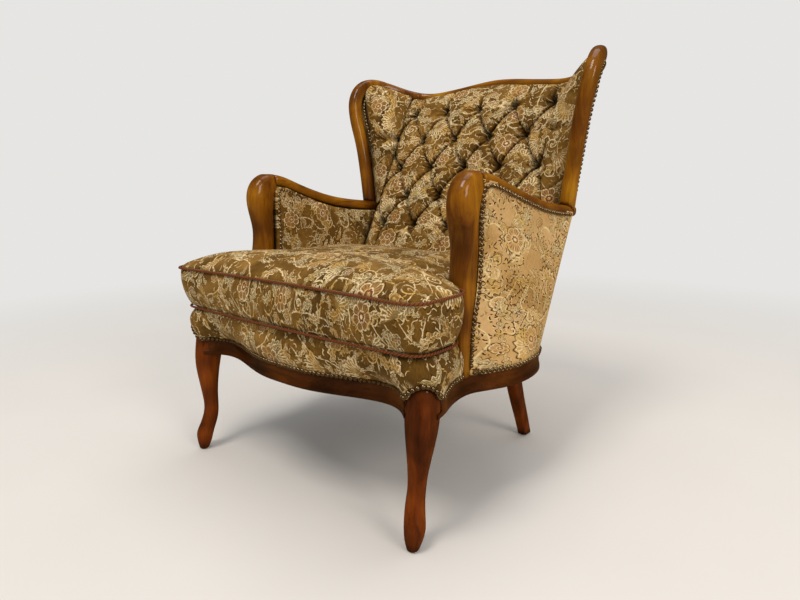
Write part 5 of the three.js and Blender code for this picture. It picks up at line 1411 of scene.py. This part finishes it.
def cushion_start():
    """The cut and sewn form of the cushion, before it is filled."""
    def ring(outline, scale, z):
        return [vec(*((p - CUSHION_CENTRE) * scale + CUSHION_CENTRE), z) for p in outline]

    rings = [ring(lower_edge, scale, CUSHION_REST + UNDER_GAP) for scale in UNDER_SHARES]
    rings.append(ring(lower_edge, 1, CUSHION_LOWER))
    for share in shares(8)[1:-1]:
        edge = [lerp(low, high, share) for low, high in zip(lower_edge, upper_edge)]
        swell = CUSHION_SWELL * math.sin(math.pi * share) ** 0.8
        swollen = [p + normal * swell for p, normal in zip(edge, edge_normals(edge))]
        rings.append(ring(swollen, 1, lerp(CUSHION_LOWER, CUSHION_UPPER, share)))
    rings.append(ring(upper_edge, 1, CUSHION_UPPER))
    for scale in CROWN_SHARES:
        rise = CROWN_HEIGHT * (1 - scale ** 3.0) ** 0.5
        rings.append(ring(upper_edge, scale, CUSHION_UPPER + rise))
    return closed_rings("cushion", rings)


# The filling: how far the simulation may go, and how wide the seams draw the cloth in
FILL_VOXEL = 5.0
FILL_PRESSURE = 5.0
FILL_FRAMES = 20
FILL_MOVE = 13.0
TINY = 1e-9
PIN_REACH = 4.5
SEAM_REACH = 12.0
SEAM_DEPTH = 1.6
SEAM_SPREAD = 4.5
BAND_RADIUS = 0.62
BAND_CENTRE = 0.25
BAND_CLOTH_START = 0.31
TOP_CLOTH_START = 0.05


def seam_tree():
    points = [vec(*p, CUSHION_LOWER) for p in cushion_outline(EAR_LOWER, -CUSHION_BOW, PIPING, 3)]
    points += [vec(*p, CUSHION_UPPER) for p in cushion_outline(EAR_UPPER, CUSHION_HOLLOW, 0, 3)]
    tree = kdtree.KDTree(len(points))
    for step, place in enumerate(to_row(points)):
        tree.insert(Vector(place), step)
    tree.balance()
    return tree


def filled(obj, pins):
    """Remeshes a sewn form evenly and lets the filling push its cloth out between pinned places."""
    modifier = obj.modifiers.new("Even", "REMESH")
    modifier.mode = "VOXEL"
    modifier.voxel_size = FILL_VOXEL * MM
    applied(obj)
    before = point_values(obj.data)
    held = obj.vertex_groups.new(name="held")
    held.add([step for step, place in enumerate(before) if pins(place)], 1.0, "REPLACE")
    cloth = obj.modifiers.new("Filling", "CLOTH")
    cloth.settings.quality = 5
    cloth.settings.mass = 0.3
    cloth.settings.tension_stiffness = 15
    cloth.settings.compression_stiffness = 15
    cloth.settings.bending_stiffness = 0.4
    cloth.settings.use_pressure = True
    cloth.settings.uniform_pressure_force = FILL_PRESSURE
    cloth.settings.effector_weights.gravity = 0
    cloth.settings.vertex_group_mass = "held"
    cloth.point_cache.frame_start = 1
    cloth.point_cache.frame_end = FILL_FRAMES
    scene = bpy.context.scene
    for number in range(1, FILL_FRAMES + 1):
        scene.frame_set(number)
    graph = bpy.context.evaluated_depsgraph_get()
    move = point_values(obj.evaluated_get(graph).data) - before
    size = np.linalg.norm(move, axis=1, keepdims=True)
    move = move * np.minimum(1, FILL_MOVE * MM / np.maximum(size, TINY))
    obj.modifiers.clear()
    obj.vertex_groups.clear()
    scene.frame_set(1)
    put_points(obj.data, before + move)


def cushion():
    obj = finish_mesh("cushion", cushion_start(), "cushion", inside_velvet, ["seat_cushion"])
    tree = seam_tree()
    rest = (CUSHION_LOWER - 1) * MM

    def pinned(place):
        return place[2] < rest or tree.find(Vector(place))[2] < PIN_REACH * MM

    filled(obj, pinned)
    subdivided(obj, 1)
    draw_in_seams(obj.data, tree)
    middle = SHIFT_Y + CUSHION_CENTRE[1] * MM
    band_top = (CUSHION_UPPER + 1) * MM

    def lay(x, y, z):
        around = np.arctan2(x, middle - y + BAND_CENTRE) * BAND_RADIUS
        top = z > band_top
        return np.where(top, x, around), np.where(top, y + TOP_CLOTH_START, z + BAND_CLOTH_START)

    set_cloth(obj, lay)


def draw_in_seams(mesh, tree):
    """Pulls the cloth in beside the piping, so that a seam shows."""
    places, normals = point_values(mesh), point_values(mesh, "normal")
    for step, place in enumerate(places):
        away = tree.find(Vector(place))[2] / MM
        if away < SEAM_REACH:
            places[step] = place - normals[step] * SEAM_DEPTH * MM * hump(away, SEAM_SPREAD)
    put_points(mesh, places)


PIPING_STEP = 1.5
PIPING_SIDES = 15
STRANDS = 2
STRAND_PITCH = 14.0


def piping(name, outline, z, node):
    """A cord of two strands twisted round a closed outline."""
    normals = edge_normals(outline)
    centre = [vec(*(p + n * (PIPING / 2 + PIPING_GAP)), z) for p, n in zip(outline, normals)]
    centre.append(centre[0])
    lengths = line_lengths(centre)
    count = int(lengths[-1] / PIPING_STEP)
    sides = PIPING_SIDES
    twists = round(lengths[-1] / STRAND_PITCH)
    corners, strand_values = [], []
    for share in shares(count)[:-1]:
        spot = share * lengths[-1]
        step = min(int(np.searchsorted(lengths, spot, side="right")) - 1, len(centre) - 2)
        mix = (spot - lengths[step]) / (lengths[step + 1] - lengths[step])
        place = lerp(centre[step], centre[step + 1], mix)
        normal = lerp(normals[step % len(outline)], normals[(step + 1) % len(outline)], mix)
        out = unit(vec(*normal, 0))
        for side in range(sides):
            angle = 2 * math.pi * side / sides
            lobe = abs(math.cos(STRANDS / 2 * (angle - 2 * math.pi * twists * share)))
            radius = PIPING / 2 * (0.62 + 0.26 * lobe)
            corners.append(place + radius * (out * math.cos(angle) + vec(0, 0, math.sin(angle))))
            strand_values.append(lobe)
    faces = grid_faces(count, sides, looped=True)
    last = (count - 1) * sides
    for side in range(sides):
        after = (side + 1) % sides
        faces.append((last + side, last + after, after, side))
    mesh = outward(mesh_from(name, corners, faces))
    # How far each point stands out on its strand; the cord's material paints shade in the grooves from it.
    attribute = mesh.attributes.new("strand", "FLOAT", "POINT")
    attribute.data.foreach_set("value", np.array(strand_values, np.float32))
    return finish_mesh(name, mesh, "cushion", piping_cord, [node])


# Domed nail heads, one by one along their lines
HEAD_RINGS = [(1.0, -0.25), (1.0, 0.12), (0.9, 0.42), (0.68, 0.74), (0.36, 0.95)]
HEAD_SIDES = 12
HEAD_TURN = vec(0.31, 0.17, 0.93)
NAIL_LIFT = 1.0
ARM_NAIL_LIFT = 2.6
UNDER_RAIL_LIFT = 0.5
WING_NAIL_LIFT = 0.4
FRONT_NAIL_LIFT = 1.8
NAIL_LEAN = 0.09
NAIL_SLIP = 0.35
SHORTEST = 1e-6
LAP_STEP = 0.1
LAP_NAIL_SHARE = 0.6
LAP_TOP_SHARE = 0.93
BEND_NAIL = (0.06, 0.963)
ARM_NAIL_SHARE = 0.976
ARM_NAIL_START = 0.35
SIDE_NAIL_START = 0.2
FIRST_WING_NAIL = 0.035
ABOVE_COVER = 60.0
FRONT_STEPS = 300


def nail_mesh(name, heads):
    """Domes with a thin rim: heads holds the place and the outward direction of each, in millimetres."""
    rings, sides = HEAD_RINGS, HEAD_SIDES
    corners, faces = [], []
    for place, out in heads:
        across = unit(np.cross(out, HEAD_TURN))
        up = np.cross(out, across)
        start = len(corners)
        for reach, lift in rings:
            for side in range(sides):
                angle = 2 * math.pi * side / sides
                round_place = across * math.cos(angle) + up * math.sin(angle)
                corners.append(place + round_place * NAIL_RADIUS * reach + out * NAIL_DOME * lift)
        corners.append(place + out * NAIL_DOME)
        faces += grid_faces(len(rings), sides, start, looped=True)
        last, tip = start + (len(rings) - 1) * sides, len(corners) - 1
        faces += [(last + side, last + (side + 1) % sides, tip) for side in range(sides)]
        faces.append(tuple(start + side for side in range(sides))[::-1])
    return outward(mesh_from(name, corners, faces))


def nails_along(line, generator):
    """Heads at an even pitch along a line of (place, out), each a little out of true."""
    lengths = line_lengths([place for place, _ in line])
    count = max(1, round(lengths[-1] / NAIL_PITCH))
    heads = []
    for step in range(count + 1):
        spot = lengths[-1] * step / count
        low = min(int(np.searchsorted(lengths, spot, side="right")) - 1, len(line) - 2)
        mix = (spot - lengths[low]) / max(lengths[low + 1] - lengths[low], SHORTEST)
        place = lerp(line[low][0], line[low + 1][0], mix)
        out = unit(lerp(line[low][1], line[low + 1][1], mix))
        lean = vec(*[generator.uniform(-NAIL_LEAN, NAIL_LEAN) for _ in range(3)])
        slip = vec(*[generator.uniform(-NAIL_SLIP, NAIL_SLIP) for _ in range(3)])
        heads.append((place + slip, unit(out + lean)))
    return heads


def cover_lap(share):
    """The front edge of the outside cover, turned in behind the post."""
    return shell_place(0, share, COVER_TUCK) - vec(0, COVER_LAP, 0)


def cover_lap_point(share):
    edge, corner = cover_lap(share), shell_place(0, share, 0)
    up = cover_lap(min(share + LAP_STEP, 1)) - cover_lap(share - LAP_STEP)
    return lerp(corner, edge, LAP_NAIL_SHARE), unit(np.cross(corner - edge, up))


def arm_nail_lines(inset):
    """Nails round the outside of an arm, and those inside it up the post and under the arm rail."""
    outer = [cover_lap_point(lerp(4 * inset, LAP_TOP_SHARE, share)) for share in shares(24)]
    outer = [(place + out * NAIL_LIFT, out) for place, out in outer]
    upper = [shell_point(*BEND_NAIL)]
    for share in shares(32):
        upper.append(shell_point(lerp(ARM_NAIL_START, SHELL_COLUMNS + 0.5, share), ARM_NAIL_SHARE))
    outer += [(place + out * ARM_NAIL_LIFT, out) for place, out in upper]
    inside = vec(-1, 0, 0)
    under = []
    for share in shares(24):
        y = lerp(POST_JOINT_Y + NAIL_WIDTH, WING_Y - NAIL_WIDTH, share)
        row = arm_row(y)
        x, z = row["inner"] + NAIL_SEAT + UNDER_RAIL_LIFT, row["bottom"] - NAIL_WIDTH / 2 - FIT
        under.append((vec(x, y, z), inside))
    upright = []
    for share in shares(12)[:-1]:
        z = lerp(CUSHION_UPPER + NAIL_WIDTH, under[0][0][2], share)
        y = post_row(z)["rear"] + FIT + NAIL_WIDTH / 2
        upright.append((vec(arm_pad_face(y, z) + NAIL_SEAT, y, z), inside))
    return outer, upright + under


def wing_nail_lines():
    """Nails beside the wing's wood, inside it and on its outside cover."""
    wing_inner, wing_outer = [], []
    mesh = frame["nodes"]["wing_outside_cover_right"].data
    cloth = BVHTree.FromPolygons([v.co for v in mesh.vertices], [tuple(p.vertices) for p in mesh.polygons])
    for share in shares(60):
        spot = frame_at(lerp(FIRST_WING_NAIL, CREST_JOINT, share))
        place = spot["centre"] + spot["inward"] * (spot["half_face"] + NAIL_WIDTH / 2 + FIT)
        wing_inner.append((place + spot["out"] * (NAIL_HEIGHT - spot["half_thick"] - 0.5), -spot["out"]))
        above = to_row([place + spot["out"] * ABOVE_COVER])[0]
        hit, _, _, _ = cloth.ray_cast(Vector(above), Vector(-spot["out"]))
        if hit is not None:
            seat = vec(hit.x / MM, (hit.y - SHIFT_Y) / MM, hit.z / MM)
            wing_outer.append((seat + spot["out"] * WING_NAIL_LIFT, spot["out"]))
    return wing_inner, wing_outer


def nail_rows():
    inset = NAIL_WIDTH / 2 / (ARM_LEVEL - SHOW_TOP)
    last_column = len(shell_foot) - 1
    columns = [max(lerp(0, last_column, share), SIDE_NAIL_START) for share in shares(48)]
    side_line = [shell_point(column, inset) for column in columns]
    outer_line, inner_line = arm_nail_lines(inset)
    wing_inner, wing_outer = wing_nail_lines()
    rows = {
        "side_nails": side_line, "arm_nails_outer": outer_line, "arm_nails_inner": inner_line,
        "wing_nails_inner": wing_inner, "wing_nails_outer": wing_outer,
    }
    generator = random.Random(3)
    for name, line in rows.items():
        for side, word in SIDES:
            own = [(mirrored(side, place), mirrored(side, out)) for place, out in line]
            mesh = nail_mesh(f"{name}_heads_{word}", nails_along(own, generator))
            finish_mesh(f"{name}_heads_{word}", mesh, "frame", nail_metal, [f"{name}_{word}"])


def front_nail_row():
    count = FRONT_STEPS
    foot, top, foot_normals, _ = border_lines(count)
    line = []
    for step in range(count + 1):
        up = unit(top[step] - foot[step] - foot_normals[step] * BORDER_BULGE)
        along = foot[min(step + 1, count)] - foot[max(step - 1, 0)]
        out = unit(np.cross(along, up))
        line.append((foot[step] + up * NAIL_WIDTH / 2 + out * FRONT_NAIL_LIFT, out))
    mesh = nail_mesh("front_nail_heads", nails_along(line, random.Random(4)))
    finish_mesh("front_nail_heads", mesh, "frame", nail_metal, ["front_nails"])


# What shows when the cushion is lifted out, and from below
LOWER_PIPING_DROP = 1.2


def hidden_soft_pieces():
    deck = smooth_copy("seat_deck_pad", "deck", "velvet", deck_cloth)
    dust = smooth_copy("dust_cover", "dust_sheet", "dust_cloth", dust_cloth, 1)


wood_pieces()
cover_pieces()
tufted_back()
for side, word in SIDES:
    wing_pad(side, word)
    arm_pad(side, word)
border()
cushion()
piping("upper_piping", upper_edge, CUSHION_UPPER, "cushion_piping_upper")
piping("lower_piping", lower_edge, CUSHION_LOWER - LOWER_PIPING_DROP, "cushion_piping_lower")
nail_rows()
front_nail_row()
hidden_soft_pieces()


# Floor, lights and camera
BACKDROP = "#E6E5E3"
FLOOR_TONES = ("#DAD8D4", "#DFDDDA")
FLOOR_FADE = (1.0, 3.0)
FLOOR_SIZE = 40.0
PAINTED_REFLECTION_FLOOR = "#7A5A38"  # a painted reflection: the floor as the varnish and metal mirror it, warm and dim like a wooden floor, not the pale floor the camera sees
# Painted reflection: the room as the varnish and metal mirror it, warm and dim, instead of the pale backdrop.
PAINTED_REFLECTION_ROOM = ("#C9A67C", 0.16)
ROOM_LIGHT = ("#F4F3F2", 0.55)
LAMPS = [  # name, place, what it is aimed at, size, watts, colour
    ("key", (0.0, -2.7, 5.4), (0, 0, 0.5), (1.6, 2.4), 145, "#FFF6EC"),
    ("side", (4.8, -1.3, 3.0), (0, 0.1, 0.5), (2.0, 2.2), 110, "#FFF3E6"),
    ("top", (0, 0.8, 5.2), (0, 0, 0.4), (3.0, 3.0), 62, "#FFFFFF"),
]


def floor():
    """A pale floor that fades into the backdrop's colour away from the chair, for what the camera sees, and
    that shows glossy surfaces a painted warm, dim reflection.
    """
    g = Nodes("floor")
    place = g.add("ShaderNodeTexCoord").outputs["Object"]
    mottle = g.noise(place, 3.0, 3.0)
    colour = g.mix(mottle, tone(FLOOR_TONES[0]), tone(FLOOR_TONES[1]))
    rays = g.add("ShaderNodeLightPath").outputs
    # Painted reflection: glossy rays see the floor in a warm, dim colour instead of its own pale one.
    colour = g.mix(rays["Is Glossy Ray"], colour, tone(PAINTED_REFLECTION_FLOOR))
    ground = g.add("ShaderNodeBsdfPrincipled", {
        "Base Color": colour, "Roughness": 0.75, "Specular IOR Level": 0.2,
    })
    glow = g.add("ShaderNodeEmission", {"Color": tone(BACKDROP), "Strength": 1.0})
    seen = rays["Is Camera Ray"]
    far = g.step(g.vector("LENGTH", place), *FLOOR_FADE)
    share = g.math("MULTIPLY", far, seen)
    blend = g.add("ShaderNodeMixShader", {0: share, 1: ground.outputs[0], 2: glow.outputs[0]})
    g.add("ShaderNodeOutputMaterial", {"Surface": blend.outputs[0]})
    mesh = bpy.data.meshes.new("floor")
    corners = [(x * FLOOR_SIZE, y * FLOOR_SIZE, 0) for x, y in ((-1, -1), (1, -1), (1, 1), (-1, 1))]
    mesh.from_pydata(corners, [], [(0, 1, 2, 3)])
    obj = bpy.data.objects.new("floor", mesh)
    bpy.context.scene.collection.objects.link(obj)
    mesh.materials.append(g.material)


def lamp(name, place, aim, size, power, colour):
    data = bpy.data.lights.new(name, "AREA")
    data.shape = "RECTANGLE"
    data.size, data.size_y = size
    data.energy = power
    data.color = tone(colour)[:3]
    obj = bpy.data.objects.new(name, data)
    bpy.context.scene.collection.objects.link(obj)
    obj.location = place
    obj.rotation_euler = (Vector(aim) - Vector(place)).to_track_quat("-Z", "Y").to_euler()


def world():
    made = bpy.data.worlds.new("studio")
    bpy.context.scene.world = made
    g = Nodes("studio", made)
    lit, painted_room_reflection, seen = [
        g.add("ShaderNodeBackground", {"Color": tone(code), "Strength": strength}).outputs[0]
        for code, strength in (ROOM_LIGHT, PAINTED_REFLECTION_ROOM, (BACKDROP, 1.0))
    ]
    rays = g.add("ShaderNodeLightPath").outputs
    # Painted reflection: glossy rays see a warm, dim room instead of the room light.
    unseen = g.add("ShaderNodeMixShader", {0: rays["Is Glossy Ray"], 1: lit, 2: painted_room_reflection})
    mixer = g.add("ShaderNodeMixShader", {0: rays["Is Camera Ray"], 1: unseen.outputs[0], 2: seen})
    g.add("ShaderNodeOutputWorld", {0: mixer.outputs[0]})


def camera():
    turn, pitch, roll = [math.radians(angle) for angle in (CAMERA_TURN, CAMERA_PITCH, CAMERA_ROLL)]
    ahead = Vector((-math.sin(turn) * math.cos(pitch), math.cos(turn) * math.cos(pitch), -math.sin(pitch)))
    level = Vector((math.cos(turn), math.sin(turn), 0))
    down = ahead.cross(level)
    right = level * math.cos(roll) + down * math.sin(roll)
    below = down * math.cos(roll) - level * math.sin(roll)
    data = bpy.data.cameras.new("camera")
    data.sensor_width = SENSOR
    data.lens = CAMERA_LENS
    obj = bpy.data.objects.new("camera", data)
    bpy.context.scene.collection.objects.link(obj)
    turned = Matrix((right, -below, -ahead)).transposed().to_4x4()
    turned.translation = Vector(CAMERA_PLACE) + Vector((0, SHIFT_Y, 0))
    obj.matrix_world = turned
    bpy.context.scene.camera = obj


floor()
world()
camera()
for row in LAMPS:
    lamp(*row)
bpy.context.scene.view_settings.view_transform = "Standard"
